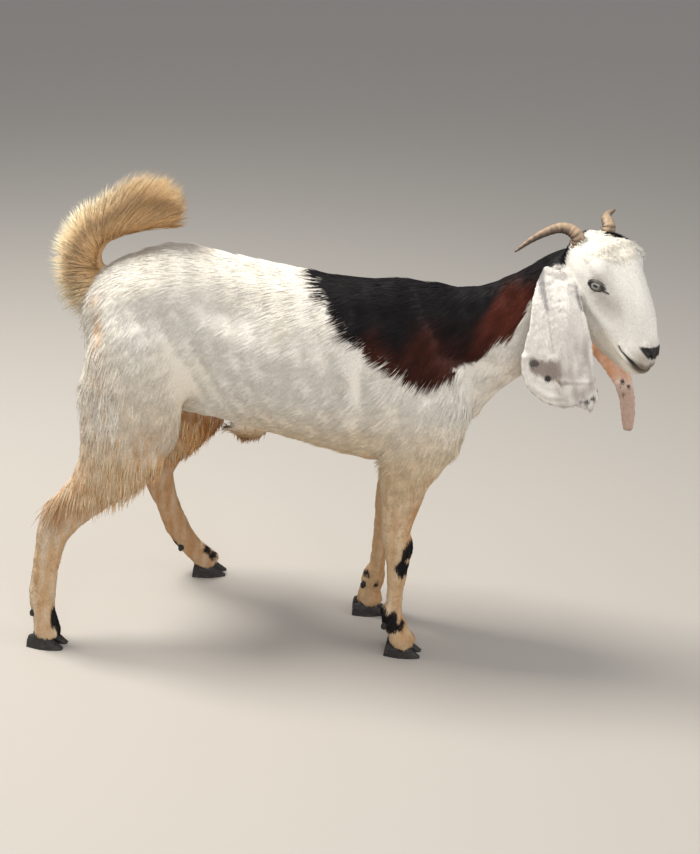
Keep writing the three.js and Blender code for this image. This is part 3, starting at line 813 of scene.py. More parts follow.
def warm_legs(at):
    """Tan and rust on the legs, more on the thighs and on the inside of the far ones; the far legs' extra
    tan and part of the rust low on the thighs are painted shade.
    """
    z, streak, hind, trunk = at.z, at.streak, at.part["hind"], at.part["trunk"]
    leg = ease(0.46 - z, 0, 0.20) * (at.legs + trunk)
    # The hind legs take more tan as their own colour; the far legs take it as painted shade.
    hind_and_shaded_far = np.clip(hind + (at.y > 0), 0, 1)
    front_edge = ease(at.facing[:, 0], 0.1, 0.7) * ease(0.42 - z, 0, 0.06) * at.legs
    thigh = ease(0.60 - z, 0, 0.20) * ease(-at.x, 0.24, 0.36) * at.body
    # Rust low on the thigh: partly the coat's own colour, partly painted shade.
    low_thigh_rust_and_shade = ease(0.47 - z, 0, 0.14) * ease(-at.x, 0.24, 0.36) * ease(z, 0.27, 0.32) * at.body
    stifle = mound(at.flat, (-0.285, 0, 0.415), (0.060, 1, 0.070)) * at.body
    from_pin, _ = along(at.flat, PIN_STREAK)
    sheath = mound(at.points, (-0.175, 0, 0.432), (0.050, 0.03, 0.016))
    sheath_end = mound(at.points, (-0.216, -0.01, 0.458), (0.020, 0.03, 0.012))
    inner = (hind + trunk) * ease(0.535 - z, 0, 0.12) * ease(-at.x, 0.215, 0.250) * (at.y > 0)
    inner = inner * (0.35 + 0.65 * ease(-at.facing[:, 1], -0.4, 0.3))
    layers = [
        (TAN, leg * (0.34 + 0.26 * hind_and_shaded_far + 0.07 * at.wisp)),
        (RUST * 1.2, front_edge * (0.40 + 0.16 * streak)),
        (CREAM, 0.45 * ease(0.68 - z, 0, 0.14) * ease(-at.x, 0.20, 0.30) * at.body),
        (TAN, thigh * (0.42 + 0.30 * streak)),
        (RUST * 1.4, low_thigh_rust_and_shade * (0.22 + 0.35 * streak)),
        (RUST * 1.3, stifle * (0.40 + 0.30 * streak)),
        (TAN, np.exp(-((from_pin / 0.013) ** 2)) * at.body * (0.40 + 0.35 * streak)),
        (TAN * 0.9, 1.1 * sheath * at.body),
        (WHITE, 1.4 * sheath_end),
        (RUST * 1.15, inner * (0.46 + 0.34 * ease(z, 0.25, 0.38) + 0.10 * at.wisp)),
    ]
    for x, y, height in HOCKS.values():
        hock = mound(at.points, (x - 0.01, y, height + 0.03), (0.03, 0.03, 0.035))
        layers.append((GREY * 1.5, (0.8 if y < 0 else 0.3) * hock))
    return layers

# %% [markdown]
# The saddle has a combed edge, so its outline is a short curve plus streaky noise. Its
# depth below the back line decides between black and mahogany. The spots on the legs
# are ellipsoids with the same combed edge.

# %% The saddle and the black spots
SADDLE_EDGE = np.array([
    (-0.066, 0.800), (-0.058, 0.760), (-0.026, 0.726), (0.021, 0.674), (0.084, 0.633),
    (0.150, 0.596), (0.204, 0.623), (0.245, 0.641), (0.276, 0.681), (0.301, 0.694),
    (0.318, 0.735), (0.326, 0.766), (0.372, 0.800), (0.400, 0.850), (0.430, 0.900),
])  # fmt: skip
BACK_LINE = np.array([
    (-0.06, 0.77), (0.10, 0.755), (0.18, 0.755), (0.26, 0.775), (0.36, 0.835), (0.43, 0.90),
])  # fmt: skip
CROWN_EDGE = np.array([(-0.080, 0.052), (-0.058, 0.037), (-0.040, 0.022), (-0.018, 0.001), (0.0, -0.012)])
LEG_SPOTS = [
    ((0.147, -0.066, 0.255), (0.014, 0.030, 0.022)), ((0.139, -0.072, 0.216), (0.016, 0.030, 0.024)),
    ((0.113, -0.066, 0.095), (0.026, 0.032, 0.020)), ((0.124, -0.066, 0.078), (0.024, 0.032, 0.018)),
    ((0.108, -0.055, 0.046), (0.014, 0.030, 0.022)),
    ((-0.524, -0.132, 0.066), (0.010, 0.026, 0.030)), ((-0.517, -0.132, 0.034), (0.010, 0.024, 0.020)),
    ((-0.288, 0.158, 0.072), (0.011, 0.026, 0.014)), ((-0.276, 0.160, 0.056), (0.010, 0.026, 0.012)),
    ((-0.357, 0.152, 0.082), (0.014, 0.030, 0.018)), ((0.064, 0.080, 0.100), (0.008, 0.020, 0.008)),
    ((0.085, 0.080, 0.082), (0.007, 0.020, 0.007)),
]  # fmt: skip


def saddle_colours(at):
    """The saddle, black above and mahogany below, and how much each place is in it."""
    edge, top = np.interp(at.x, *SADDLE_EDGE.T), np.interp(at.x, *BACK_LINE.T)
    rough = 0.003 * at.streak + 0.002 * ripple(at.combed, 0.005, 3)
    s, _, n = at.folded.T
    crown = np.interp(n, *CROWN_EDGE.T) - np.where(at.head > 0.3, s, -1)
    share = ease(at.z - edge + rough, -0.003, 0.005) * ease(at.x, -0.072, -0.060)
    share = share * ease(crown, -0.001, 0.004) * np.clip(at.body + at.head, 0, 1) * (at.ears < 0.5)
    deep = top - at.z + 0.020 * at.cloud + 0.3 * rough
    blot = mound(at.flat, (0.215, 0, 0.70), (0.028, 1, 0.06))
    neckward = ease(at.x, 0.225, 0.27) * ease(0.385 - at.x, 0, 0.04)
    dark = paint(np.repeat(BLACK[None], len(at.x), 0), [
        (MAHOGANY, ease(deep, 0.035, 0.085) * (1 - 0.8 * blot)),
        (REDDISH, neckward * ease(deep, 0.018, 0.050)),
    ])  # fmt: skip
    return dark * (1 + 0.25 * at.streak[:, None]), share


def leg_spots(at):
    """Black spots, each an ellipsoid with a combed edge."""
    layers = []
    for centre, radii in LEG_SPOTS:
        reach = (((at.points - centre) / radii) ** 2).sum(1)
        layers.append((BLACK, ease(1.15 - reach + 0.25 * at.streak, 0, 0.35) * (at.head < 0.2)))
    return layers

# %% [markdown]
# Face and ears show most of what is bare: the pad of the nose, the lips, the rims of
# the lids and a patch on the near ear. These take their places from the same paths
# that were sculpted, and also say how bare the skin is, for its gloss.

# %% Face and ears
# Grey strokes on the near ear: the first four are painted shade in its grooves and creases, the last two
# darken its lower front edge.
EAR_SHADE_AND_MARK_STROKES = [
    ([(0.331, 0, 0.812), (0.337, 0, 0.788), (0.346, 0, 0.760)], 0.0070, 1.10),
    ([(0.388, 0, 0.810), (0.394, 0, 0.782), (0.403, 0, 0.763)], 0.0045, 1.00),
    ([(0.347, 0, 0.757), (0.356, 0, 0.719), (0.364, 0, 0.688)], 0.0022, 0.40),
    ([(0.419, 0, 0.745), (0.429, 0, 0.705), (0.434, 0, 0.680)], 0.0030, 0.40),
    ([(0.441, 0, 0.652), (0.447, 0, 0.633), (0.450, 0, 0.613)], 0.0026, 0.95),
    ([(0.427, 0, 0.604), (0.436, 0, 0.611), (0.443, 0, 0.618)], 0.0030, 0.80),
]
EAR_PATCH = [(0.324, 0.672), (0.377, 0.678), (0.384, 0.631), (0.326, 0.646)]
NEAR_EAR_SPOTS = [
    (0.335, 0.662, 0.0085, 0.75), (0.361, 0.638, 0.0066, 1), (0.443, 0.645, 0.0035, 1),
    (0.449, 0.628, 0.0045, 1), (0.452, 0.606, 0.0035, 0.9), (0.440, 0.613, 0.0045, 0.8),
    (0.431, 0.604, 0.0055, 0.8), (0.421, 0.603, 0.0035, 0.6),
]  # fmt: skip
FAR_EAR_SPOTS = [
    (0.509, 0.588, 0.0035), (0.521, 0.579, 0.0035), (0.514, 0.563, 0.003), (0.506, 0.575, 0.002),
]  # fmt: skip


def within(x, z, corners):
    """How far inside a four-sided field a place is (m), less than 0 outside."""
    inside = np.full(len(x), 9.0)
    for (x0, z0), (x1, z1) in zip(corners, corners[1:] + corners[:1]):
        reach = math.hypot(x1 - x0, z1 - z0)
        inside = np.minimum(inside, ((z1 - z0) * (x - x0) - (x1 - x0) * (z - z0)) / reach)
    return inside


def face_colours(at, saddle):
    """The white face with its dark pad, mouth line, lids and tear line, and painted shade before and above
    the eye; and how bare.
    """
    folded, head = at.folded, at.head
    s, l, n = folded.T
    muzzle = ease(s, 0.200, 0.228) * head
    jowl = ease(-n, 0.050, 0.072) * ease(s, 0.12, 0.17) * head
    # Painted shade: a grey patch in the hollow before and below the eye.
    hollow = mound(folded, (0.126, 0.046, -0.022), (0.040, 0.03, 0.024)) * head
    inward = np.clip(1 - l / 0.022, 0, 1)
    pad = ease(s - 1.2 * np.maximum(n + 0.021, 0), 0.2080, 0.2105)
    pad = pad * ease(n + 0.005 * inward, -0.0275, -0.0245) * head
    lips, mouth_at = beside(folded, MOUTH)
    lip_gap = 0.0017 + 0.0040 * mound(mouth_at[:, None], 0.62, 0.20)
    mouth_line = np.exp(-((lips / lip_gap) ** 2)) * head * ease(s, 0.185, 0.190)
    under_nose = ease(s, 0.222, 0.236) * ease(-n, 0.036, 0.044) * ease(0.060 + n, 0, 0.004) * head
    _, u, v, w, *_ = almond(folded)
    # The dark rim is the lids' own dark skin; its upper side reaches further as painted shade under the
    # upper lid.
    around = np.hypot(u / (LID_REACH + 0.004), np.where(v > 0, v / 0.0116, v / 0.0094))
    rim = ease(1.03 - around, 0, 0.14) * (w > 0) * head
    tears, tear_at = beside(folded, TEAR)
    rim = np.maximum(rim, np.exp(-((tears / (0.0030 - 0.0012 * tear_at)) ** 2)) * head * 1.2)
    # Painted shade: a grey band under the brow, above the eye.
    socket = mound(folded, EYE + (-0.004, 0.0, 0.012), (0.018, 0.02, 0.009)) * head
    layers = [
        (WHITE * (0.96, 0.975, 1.0), head * (1 - saddle) * 0.8),
        (LIP, muzzle * 0.70 * ease(0.070 + n, 0, 0.012)),
        (CREAM, 0.40 * jowl),
        # painted shade in the hollow before the eye
        (GREY * 1.2, 0.42 * ease(hollow, 0.10, 0.8) * (1 - saddle)),
        (NOSE, pad),
        (NOSE, mouth_line * 1.2),
        (LIP * (0.30, 0.24, 0.18), 0.8 * under_nose),
        (NOSE * 1.6, rim),
        # painted shade under the brow
        (GREY, 0.45 * socket),
    ]
    return layers, np.maximum(np.maximum(pad, muzzle * 0.7), rim)


def ear_colours(at):
    """White ears with spots, a rosy inside, painted shade in the folds and painted light through the far
    ear; and how bare they are.
    """
    right, left = at.part["ear_right"], at.part["ear_left"]
    vein = 0.5 + 0.5 * ripple(at.points * (1, 1, 0.25), 0.012, 8)
    rosy = right * 0.80 * ease(0.76 - at.z, 0, 0.06) * ease(at.x, 0.365, 0.395) * vein
    layers = [(WHITE * (1.0, 1.0, 1.03), at.ears * 0.85), (PINK * (0.95, 1.25, 1.58), rosy)]
    # Painted shade in the folds, and two darker strokes at the lower front edge.
    for path, wide, share in EAR_SHADE_AND_MARK_STROKES:
        off, down = along(at.flat, path)
        stroke = np.exp(-((off / (wide * (1 - 0.5 * down))) ** 2)) * share * right
        layers.append((GREY * (0.95, 1.0, 1.08), stroke))
    patch = ease(within(at.x, at.z, EAR_PATCH) + 0.003 * at.streak, -0.003, 0.006) * right
    layers.append((PATCH_GREY, patch * 0.95))
    for x, z, size, share in NEAR_EAR_SPOTS:
        off = np.hypot(at.x - x, at.z - z) + 0.0008 * at.streak
        layers.append((NOSE * 2, ease(size - off, -0.001, 0.0015) * share * right))
    # Painted light: amber and pink low on the far ear, where light shines through it.
    light_through_ear = left * ease(0.70 - at.z, 0, 0.04)
    layers.append((BACKLIT_AMBER, light_through_ear * ease(at.z, 0.565, 0.60) * (0.75 + 0.2 * at.wisp)))
    layers.append((PINK, light_through_ear * ease(0.60 - at.z, 0, 0.035) * 0.9))
    for x, z, size in FAR_EAR_SPOTS:
        off = np.hypot(at.x - x, at.z - z) + 0.0006 * at.streak
        layers.append((NOSE * 2, ease(size - off, -0.001, 0.0012) * left))
    return layers, patch * 0.6


def coat_colour(points, part, facing):
    """The colour of the coat at each place, and how bare the skin is there."""
    at = read_place(points, part, facing)
    dark, saddle = saddle_colours(at)
    horn_patch = mound(to_head(points), (0.014, 0.036, 0.002), (0.014, 0.015, 0.02)) * at.head
    face, bare_face = face_colours(at, saddle)
    ears, bare_ears = ear_colours(at)
    layers = warm_body(at) + warm_legs(at)
    layers += [(dark, saddle), (BLACK, ease(horn_patch, 0.30, 0.50))] + leg_spots(at)
    layers += face + ears + [(TAN, part["tail"] * 0.95 * ease(at.z, 0.69, 0.73))]
    colour = paint(np.repeat(WHITE[None], len(points), 0), layers)
    return np.clip(colour, 0, 1), np.clip(np.maximum(bare_face, bare_ears), 0, 1)

# %% Keep numbers on a mesh


def keep_on(mesh, name, kind, values):
    """Stores numbers on the vertices, for the materials to read."""
    layer = mesh.attributes.new(name, kind, "POINT")
    if kind == "FLOAT_COLOR":
        values = np.column_stack([values, np.ones(len(values))])
        layer.data.foreach_set("color", values.astype(np.float32).ravel())
    elif kind == "FLOAT_VECTOR":
        layer.data.foreach_set("vector", values.astype(np.float32).ravel())
    else:
        layer.data.foreach_set("value", values.astype(np.float32).ravel())

# %% Paint the skin
points = read_points(skin_mesh) - ORIGIN
normals = read_normals(skin_mesh)
edges = read_edges(skin_mesh)
part = parts_of(points, edges, 2)
colour, bare = coat_colour(points, part, normals)
keep_on(skin_mesh, "coat_colour", "FLOAT_COLOR", colour)
keep_on(skin_mesh, "bare", "FLOAT", bare)
keep_on(skin_mesh, "combed", "FLOAT_VECTOR", combed(points, part))
print("colours on", len(points), "vertices")

# %% [markdown]
# ## Which way the hair lies
# Hair grows backwards from the nose, down the neck and ribs and down the legs. We give
# every vertex that direction, flatten it into the skin and let neighbours agree, so
# the coat turns smoothly where one part passes into the next.

# %% The lie of the coat


def flattened(way, normals):
    """Directions laid into the skin, one metre long."""
    way = way - (way * normals).sum(1)[:, None] * normals
    return way / np.maximum(np.linalg.norm(way, axis=1), 1e-6)[:, None]


def lie_of_coat(points, normals, edges, part):
    """The way the hair falls at each place, agreed with the neighbours."""
    x, _, z = points.T
    ribs = mix(np.array([-0.80, 0, -0.60]), (-1, 0, -0.22), ease(z, 0.70, 0.76))
    ribs = mix(ribs, (-0.28, 0, -0.96), ease(-x, 0.24, 0.36) * ease(0.76 - z, 0, 0.10))
    ribs = mix(ribs, (-0.40, 0, -0.92), ease(x, 0.08, 0.16) * ease(0.72 - z, 0, 0.1))
    ribs = mix(ribs, (-1, 0, -0.1), ease(0.46 - z, 0, 0.03) * ease(x, -0.25, -0.20))
    neck = np.array([-0.66, 0, -0.75]) + ease(x, 0.2, 0.3)[:, None] * np.array([0.18, 0, -0.15])
    ways = HAIR_WAYS | {"trunk": ribs, "neck": neck, "fore": (-0.12, 0, -1)}
    way = sum(part[name][:, None] * np.asarray(heading) for name, heading in ways.items())
    way = flattened(way, normals)
    return flattened(relax(way, edges, np.full(len(points), 0.5), 10), normals)


lie = lie_of_coat(points, normals, edges, part)
print("mean fall of the hair", lie.mean(0).round(2))

# %% [markdown]
# ## Where the seeds fall
# Each tuft grows from a spot picked at random on the skin's triangles, more spots
# where hair is short. The spot also takes its place on an unwrap of the skin, so a
# later bake can give every tuft the colour of the skin it grows from.

# %% Unwrap the skin and scatter seeds
skin = new_piece("skin", skin_mesh, "white_coat", *FLESH, "tail")
bpy.context.view_layer.objects.active = skin
skin.select_set(True)
skin_mesh.uv_layers.new(name="OFBake")
bpy.ops.object.mode_set(mode="EDIT")
bpy.ops.mesh.select_all(action="SELECT")
bpy.ops.uv.smart_project(angle_limit=1.15, island_margin=0.004, scale_to_bounds=True)
bpy.ops.object.mode_set(mode="OBJECT")
skin_mesh = skin.data
skin_mesh.calc_loop_triangles()
corners = np.array([triangle.vertices[:] for triangle in skin_mesh.loop_triangles])
loops = np.array([triangle.loops[:] for triangle in skin_mesh.loop_triangles])
skin_uv = np.empty(len(skin_mesh.loops) * 2, np.float32)
skin_mesh.uv_layers["OFBake"].uv.foreach_get("vector", skin_uv)
skin_uv = skin_uv.reshape(-1, 2)
sides = points[corners]
area = np.linalg.norm(np.cross(sides[:, 1] - sides[:, 0], sides[:, 2] - sides[:, 0]), axis=1) / 2
print("skin area", area.sum().round(2), "square metres")

# %% Seeds


def scatter(count, weight, seed):
    """Seeds on the skin: triangle and share of its corners, by area times weight."""
    rng = np.random.default_rng(seed)
    chance = area * weight[corners].mean(1)
    chosen = rng.choice(len(area), count, p=chance / chance.sum())
    r1, r2 = np.sqrt(rng.random(count)), rng.random(count)
    return chosen, np.column_stack([1 - r1, r1 * (1 - r2), r1 * r2])


def at_seeds(values, seeds):
    """What the skin's vertices hold, read at each seed."""
    chosen, share = seeds
    values = values if values.ndim > 1 else values[:, None]
    return (values[corners[chosen]] * share[:, :, None]).sum(1).squeeze()


def uv_at_seeds(seeds):
    """The place of each seed on the unwrap."""
    chosen, share = seeds
    return (skin_uv[loops[chosen]] * share[:, :, None]).sum(1)

# %% [markdown]
# ## A tuft
# One tuft is a closed spindle, three-sided in section: a buried root, one or more
# rings and a tip, which is all a lock of short hair needs. Long locks get more rings
# so that they can droop and wave. All tufts of a region become one mesh, and each
# keeps a small square of the unwrap around its root.

# %% The shape of one tuft
PATCH = 0.003
FLATNESS = 0.35
STUB = ((0.4, 1.0),)
SHORT = ((0.3, 1.0), (0.7, 0.8))
LONG = ((0.2, 1.0), (0.5, 0.9), (0.8, 0.6))


def spindle_faces(stations):
    """Triangles of one closed tuft: a root, rings of three vertices, and a tip."""
    faces = [(0, 2, 1), (0, 3, 2), (0, 1, 3)]
    for i in range(stations - 1):
        a, b = 1 + 3 * i, 4 + 3 * i
        for j, m in ((0, 1), (1, 2), (2, 0)):
            faces += [(a + j, a + m, b + m), (a + j, b + m, b + j)]
    a, last = 1 + 3 * (stations - 1), 3 * stations + 1
    faces += [(a, a + 1, last), (a + 1, a + 2, last), (a + 2, a, last)]
    return np.array(faces)


def facing_out(faces, verts):
    """The same triangles, turned round if they point into the tuft."""
    one = verts - verts.mean(0)
    a, b, c = one[faces].transpose(1, 0, 2)
    return faces[:, ::-1] if np.einsum("ij,ij->i", a, np.cross(b, c)).sum() < 0 else faces


def tuft_shading(up, out, way, stations, sleek):
    """A normal for each vertex: round across the tuft, turned to the skin's if sleek."""
    turned = up * np.broadcast_to(sleek, len(up))[:, None]
    ring = [turned - out - 0.5 * up, turned + out - 0.5 * up, turned + up]
    facing = np.stack([turned + 0.5 * up - way, *(ring * stations), turned + way], axis=1)
    facing = facing.reshape(-1, 3)
    return facing / np.linalg.norm(facing, axis=1)[:, None]


def triangle_mesh(name, verts, index):
    """A smooth mesh of triangles, straight from arrays."""
    mesh = bpy.data.meshes.new(name)
    mesh.vertices.add(len(verts))
    mesh.vertices.foreach_set("co", verts.ravel())
    mesh.loops.add(len(index))
    mesh.loops.foreach_set("vertex_index", index.astype(np.int32))
    mesh.polygons.add(len(index) // 3)
    mesh.polygons.foreach_set("loop_start", np.arange(0, len(index), 3, dtype=np.int32))
    mesh.polygons.foreach_set("use_smooth", np.ones(len(index) // 3, bool))
    mesh.update(calc_edges=True)
    return mesh

# %% Grow tufts as one mesh


def grow(
    name, seeds_uv, root, way, up, length, width, colour, slot, rings=STUB,
    droop=0.0, wave=0.0, seed=0, curl=None, tip=None, sleek=0.0,
):
    """Builds closed tufts. rings gives (share of length, share of width); sleek turns
    the shading towards the skin's own, as short flat hair shades."""
    rng = np.random.default_rng(seed)
    count, stations = len(root), len(rings)
    out = np.cross(up, way)
    out /= np.linalg.norm(out, axis=1)[:, None]
    phase, pace = rng.uniform(0, 6.28, count), rng.uniform(0.8, 1.6, count)

    def spine(t):
        """The middle of every tuft, t of the way from root to tip."""
        p = root + way * (length * t)[:, None]
        p = p + np.array([0, 0, -1.0]) * (droop * length * t * t)[:, None]
        if curl is not None:
            p = p + curl * (length * t * t)[:, None]
        sway = wave * length * t * np.sin(phase + 6.28 * pace * t)
        return p + out * sway[:, None]

    verts, patch = [root - up * (0.5 * width)[:, None]], [(0, -0.5)]
    for t, breadth in rings:
        middle = spine(np.full(count, t))
        half = (width * breadth / 2)[:, None]
        verts += [
            middle - out * half - up * half * FLATNESS,
            middle + out * half - up * half * FLATNESS,
            middle + up * half * 2 * FLATNESS,
        ]
        patch += [(-0.5, t - 0.5), (0.5, t - 0.5), (0, t - 0.5)]
    verts = np.stack([*verts, spine(np.ones(count))], axis=1)
    patch = np.array([*patch, (0, 0.5)])
    faces = facing_out(spindle_faces(stations), verts[0])
    index = (faces[None] + verts.shape[1] * np.arange(count)[:, None, None]).reshape(-1)
    mesh = triangle_mesh(name, (verts + ORIGIN).reshape(-1, 3), index)
    places = (seeds_uv[:, None] + PATCH * patch).reshape(-1, 2)
    layer = mesh.uv_layers.new(name="OFBake")
    layer.uv.foreach_set("vector", places[index].astype(np.float32).ravel())
    facing = tuft_shading(up, out, way, stations, sleek)
    mesh.normals_split_custom_set_from_vertices(facing.tolist())
    tip = colour if tip is None else tip
    down_tuft = np.array([0.0] + [t for t, _ in rings for _ in range(3)] + [1.0])[None, :, None]
    shades = colour[:, None] + (tip - colour)[:, None] * down_tuft
    keep_on(mesh, "coat_colour", "FLOAT_COLOR", shades.reshape(-1, 3))
    print(name, count, "tufts,", len(index) // 3, "triangles")
    return new_piece(name, mesh, slot)

# %% [markdown]
# ## The short coat
# Body hair is about three centimetres long and lies almost flat, leg hair half that,
# and the face has only a velvet of a few millimetres. Length, width and angle are
# set from the same part masks as the colours, with a little disorder for life.

# %% Hair on the body, legs, head and ears


def hair_size(points, part):
    """Length, width (m) and rise (share of length) of the tufts at each place."""
    z = points[:, 2]
    s = face_places(points)[0][:, 0]
    length = np.full(len(points), 30.0)
    width = np.full(len(points), 1.5)
    low = ease(0.45 - z, 0, 0.16)
    length += (12 - length) * low
    width += (1.3 - width) * low
    length += (8.5 - length) * ease(0.12 - z, 0, 0.05)
    neck = part["neck"]
    length += (24 - length) * neck * (1 - low)
    length += (15 - length) * part["tail"]
    head = part["head"]
    length += (7.5 - length) * head
    width += (1.25 - width) * head
    length += (3.6 - length) * head * ease(s, 0.15, 0.2)
    width += (0.8 - width) * head * ease(s, 0.15, 0.2)
    ears = part["ear_right"] + part["ear_left"]
    length += (6.5 - length) * ears
    width += (1.0 - width) * ears
    rise = 0.045 - 0.005 * head - 0.025 * ears
    return length * MM, width * MM, rise

# %% How many tufts grow where
length, width, rise = hair_size(points, part)
head, ears = part["head"], np.clip(part["ear_right"] + part["ear_left"], 0, 1)
body_share = np.clip(1 - head - ears - 0.5 * part["tail"], 0, 1)
lower_leg = ease(0.40 - points[:, 2], 0, 0.05) * body_share
sheath_tip = ease(mound(points, (-0.207, 0, 0.460), (0.018, 0.035, 0.014)), 0.25, 0.6)
COATS = {
    "body": (107000, body_share * (1 - lower_leg) * (1 - 0.92 * sheath_tip), 11, 2.5),
    "legs": (34000, lower_leg, 12, 1.5),
    "head": (22000, head * (1 - bare) ** 2, 13, 2.0),
    "ears": (22000, ears * (1 - 0.8 * bare), 14, 2.0),
}
BANDS = (
    ("rump", -9, -0.27), ("flank", -0.27, -0.08), ("ribs", -0.08, 0.09),
    ("shoulder", 0.09, 0.22), ("neck", 0.22, 9),
)  # fmt: skip


def bands(area_name, root):
    """Splits a big coat into pieces small enough to carry around."""
    x, y, _ = root.T
    if area_name == "body":
        return {
            f"coat_{name}_{side}": (x >= start) & (x < end) & ((y > 0) == (side == "left"))
            for side in ("left", "right")
            for name, start, end in BANDS
        }
    if area_name == "legs":
        return {"coat_fore_legs": x > -0.1, "coat_hind_legs": x <= -0.1}
    if area_name == "ears":
        return {"coat_ear_right": y < -0.03, "coat_ear_left": y >= -0.03}
    return {"coat_head": x > -9}

# %% Grow the short coat
coats = []
for area_name, (count, weight, seed, sleek) in COATS.items():
    rng = np.random.default_rng(seed)
    seeds = scatter(count, weight / (length * width) * 1e-5, seed)
    root, way, up = at_seeds(points, seeds), at_seeds(lie, seeds), at_seeds(normals, seeds)
    long_, wide, steep = at_seeds(length, seeds), at_seeds(width, seeds), at_seeds(rise, seeds)
    up /= np.linalg.norm(up, axis=1)[:, None]
    way = flattened(way, up)
    share = {k: at_seeds(v, seeds) for k, v in part.items()}
    tint, _ = coat_colour(root, share, up)
    clump = ripple(root, 0.014, seed + 40)
    tint = tint * (1 + 0.03 * rng.normal(size=count) + 0.025 * clump)[:, None]
    side = np.cross(up, way)
    way = way + side * (0.05 * rng.normal(size=count) + 0.08 * ripple(root, 0.05, seed + 50))[:, None]
    way = way + up * (steep * rng.uniform(0.2, 1.7, count))[:, None]
    way /= np.linalg.norm(way, axis=1)[:, None]
    long_ = long_ * rng.uniform(0.65, 1.25, count)
    wide = wide * rng.uniform(0.7, 1.3, count)
    broad = 1 - ease(mound(root, (-0.206, 0, 0.460), (0.024, 0.04, 0.018)), 0.1, 0.4)
    if area_name == "ears":
        broad = ease(np.abs(up[:, 1]), 0.5, 0.85)
    uv = uv_at_seeds(seeds)
    for name, chosen in bands(area_name, root).items():
        coats.append(grow(
            name, uv[chosen], root[chosen], way[chosen], up[chosen], long_[chosen], wide[chosen],
            np.clip(tint[chosen], 0, 1), "white_coat", seed=seed, sleek=sleek * broad[chosen],
        ))  # fmt: skip

# %% [markdown]
# ## The tail brush
# The goat carries its tail curled forward over the rump. A short bony tail follows
# the inside of the curl and the hair fans out from it: backwards at the root, upwards
# and then forwards along the top, where it ends in combed strands. Each lock leans
# from the bone's direction towards the outside by an angle that falls along the tail.

# %% Tail hair


def smooth_path(path, count):
    """Points on a smooth curve through the given ones (Catmull-Rom)."""
    path = np.asarray(path, float)
    p = np.vstack([2 * path[0] - path[1], path, 2 * path[-1] - path[-2]])
    t = np.linspace(0, len(path) - 1, count)
    i = np.minimum(t.astype(int), len(path) - 2)
    f = (t - i)[:, None]
    a, b, c, d = p[i], p[i + 1], p[i + 2], p[i + 3]
    return 0.5 * (2 * b + (c - a) * f + (2 * a - 5 * b + 4 * c - d) * f**2 + (3 * b - a - 3 * c + d) * f**3)


TAIL_STOPS = np.linspace(0, 1, 8)
TAIL_OUTER_LEAN = np.radians([45, 62, 80, 84, 80, 76, 70, 55])
TAIL_INNER_LEAN = np.radians([15, 25, 40, 45, 38, 18, 2, -16])
TAIL_HAIR = np.array([98, 94, 80, 68, 66, 92, 78, 50]) * MM
TAIL_CURL = [0.0, 0.05, 0.10, 0.20, 0.40, 0.58, 0.60, 0.35]


rear_faces = np.flatnonzero(points[corners].mean(1)[:, 0] < -0.2)
rear_tree = KDTree(len(rear_faces))
for i, centre in enumerate(points[corners[rear_faces]].mean(1).tolist()):
    rear_tree.insert(centre, i)
rear_tree.balance()


def uv_near(root):
    """The unwrap's place under each root, from the nearest skin triangle."""
    nearest = rear_faces[[rear_tree.find(r)[1] for r in root.tolist()]]
    return skin_uv[loops[nearest]].mean(1)

# %% [markdown]
# Each tail lock starts on the bone at a random place and a random angle round it. Its
# lean, length and colour are read from how far along and how far out it is: pale on
# the outer edge, ochre inside the curl, white where the tail leaves the rump.

# %% Comb the tail
rng = np.random.default_rng(21)
bone = smooth_path(TAIL_BONE, 200)
ahead_of = np.gradient(bone, axis=0)
ahead_of /= np.linalg.norm(ahead_of, axis=1)[:, None]
outward = np.column_stack([-ahead_of[:, 2], np.zeros(200), ahead_of[:, 0]])
count = 9600
t = np.clip(rng.beta(1.15, 1.0, count), 0, 1)
i = (t * 199).astype(int)
spin = rng.normal(0, 1.15, count).clip(-3.0, 3.0)
height = 0.5 + 0.5 * np.cos(spin)
inner_lean = np.interp(t, TAIL_STOPS, TAIL_INNER_LEAN)
outer_lean = np.interp(t, TAIL_STOPS, TAIL_OUTER_LEAN)
lean = inner_lean + (outer_lean - inner_lean) * height + rng.normal(0, 0.09, count)
side_way = np.array([0, 1.0, 0])
rim_way = np.cos(spin)[:, None] * outward[i] + np.sin(spin)[:, None] * side_way
core = np.interp(t, TAIL_STOPS, TAIL_RADII) * 0.8
root = bone[i] + rim_way * core[:, None]
fan = outward[i] + (0.45 * np.sin(spin))[:, None] * side_way
way = np.cos(lean)[:, None] * ahead_of[i] + np.sin(lean)[:, None] * fan
way /= np.linalg.norm(way, axis=1)[:, None]
up = flattened(rim_way + 1e-3 * side_way, way)
long_ = np.interp(t, TAIL_STOPS, TAIL_HAIR) * rng.uniform(0.6, 1.06, count) * (0.80 + 0.20 * np.cos(spin))
pale = ease(-root[:, 0], 0.38, 0.46)[:, None]
GOLD, OCHRE, STRAW = np.array([[0.76, 0.52, 0.27], [0.56, 0.31, 0.12], [0.95, 0.82, 0.58]])
base = OCHRE + (GOLD - OCHRE) * rng.uniform(0.2, 1.0, count)[:, None]
base = base + (RUST - base) * (0.75 * (1 - height) * ease(t, 0.1, 0.3))[:, None]
ends = GOLD + (STRAW - GOLD) * (0.10 + 0.90 * pale * height[:, None] + 0.25 * rng.random((count, 1)))
ends = ends + (OCHRE * 1.15 - ends) * (0.75 * (1 - height) * ease(t, 0.1, 0.3))[:, None]
shade = (1 + 0.13 * rng.normal(size=count) + 0.10 * ripple(root + way * 0.03, 0.012, 5))[:, None]
seat = 0.85 * ease(0.16 - t, 0, 0.14)[:, None]
base, ends = base + (WHITE - base) * seat, ends + (WHITE - ends) * seat
grey_lock = (rng.random(count) < 0.03)[:, None]
ends = np.where(grey_lock, GREY, ends)
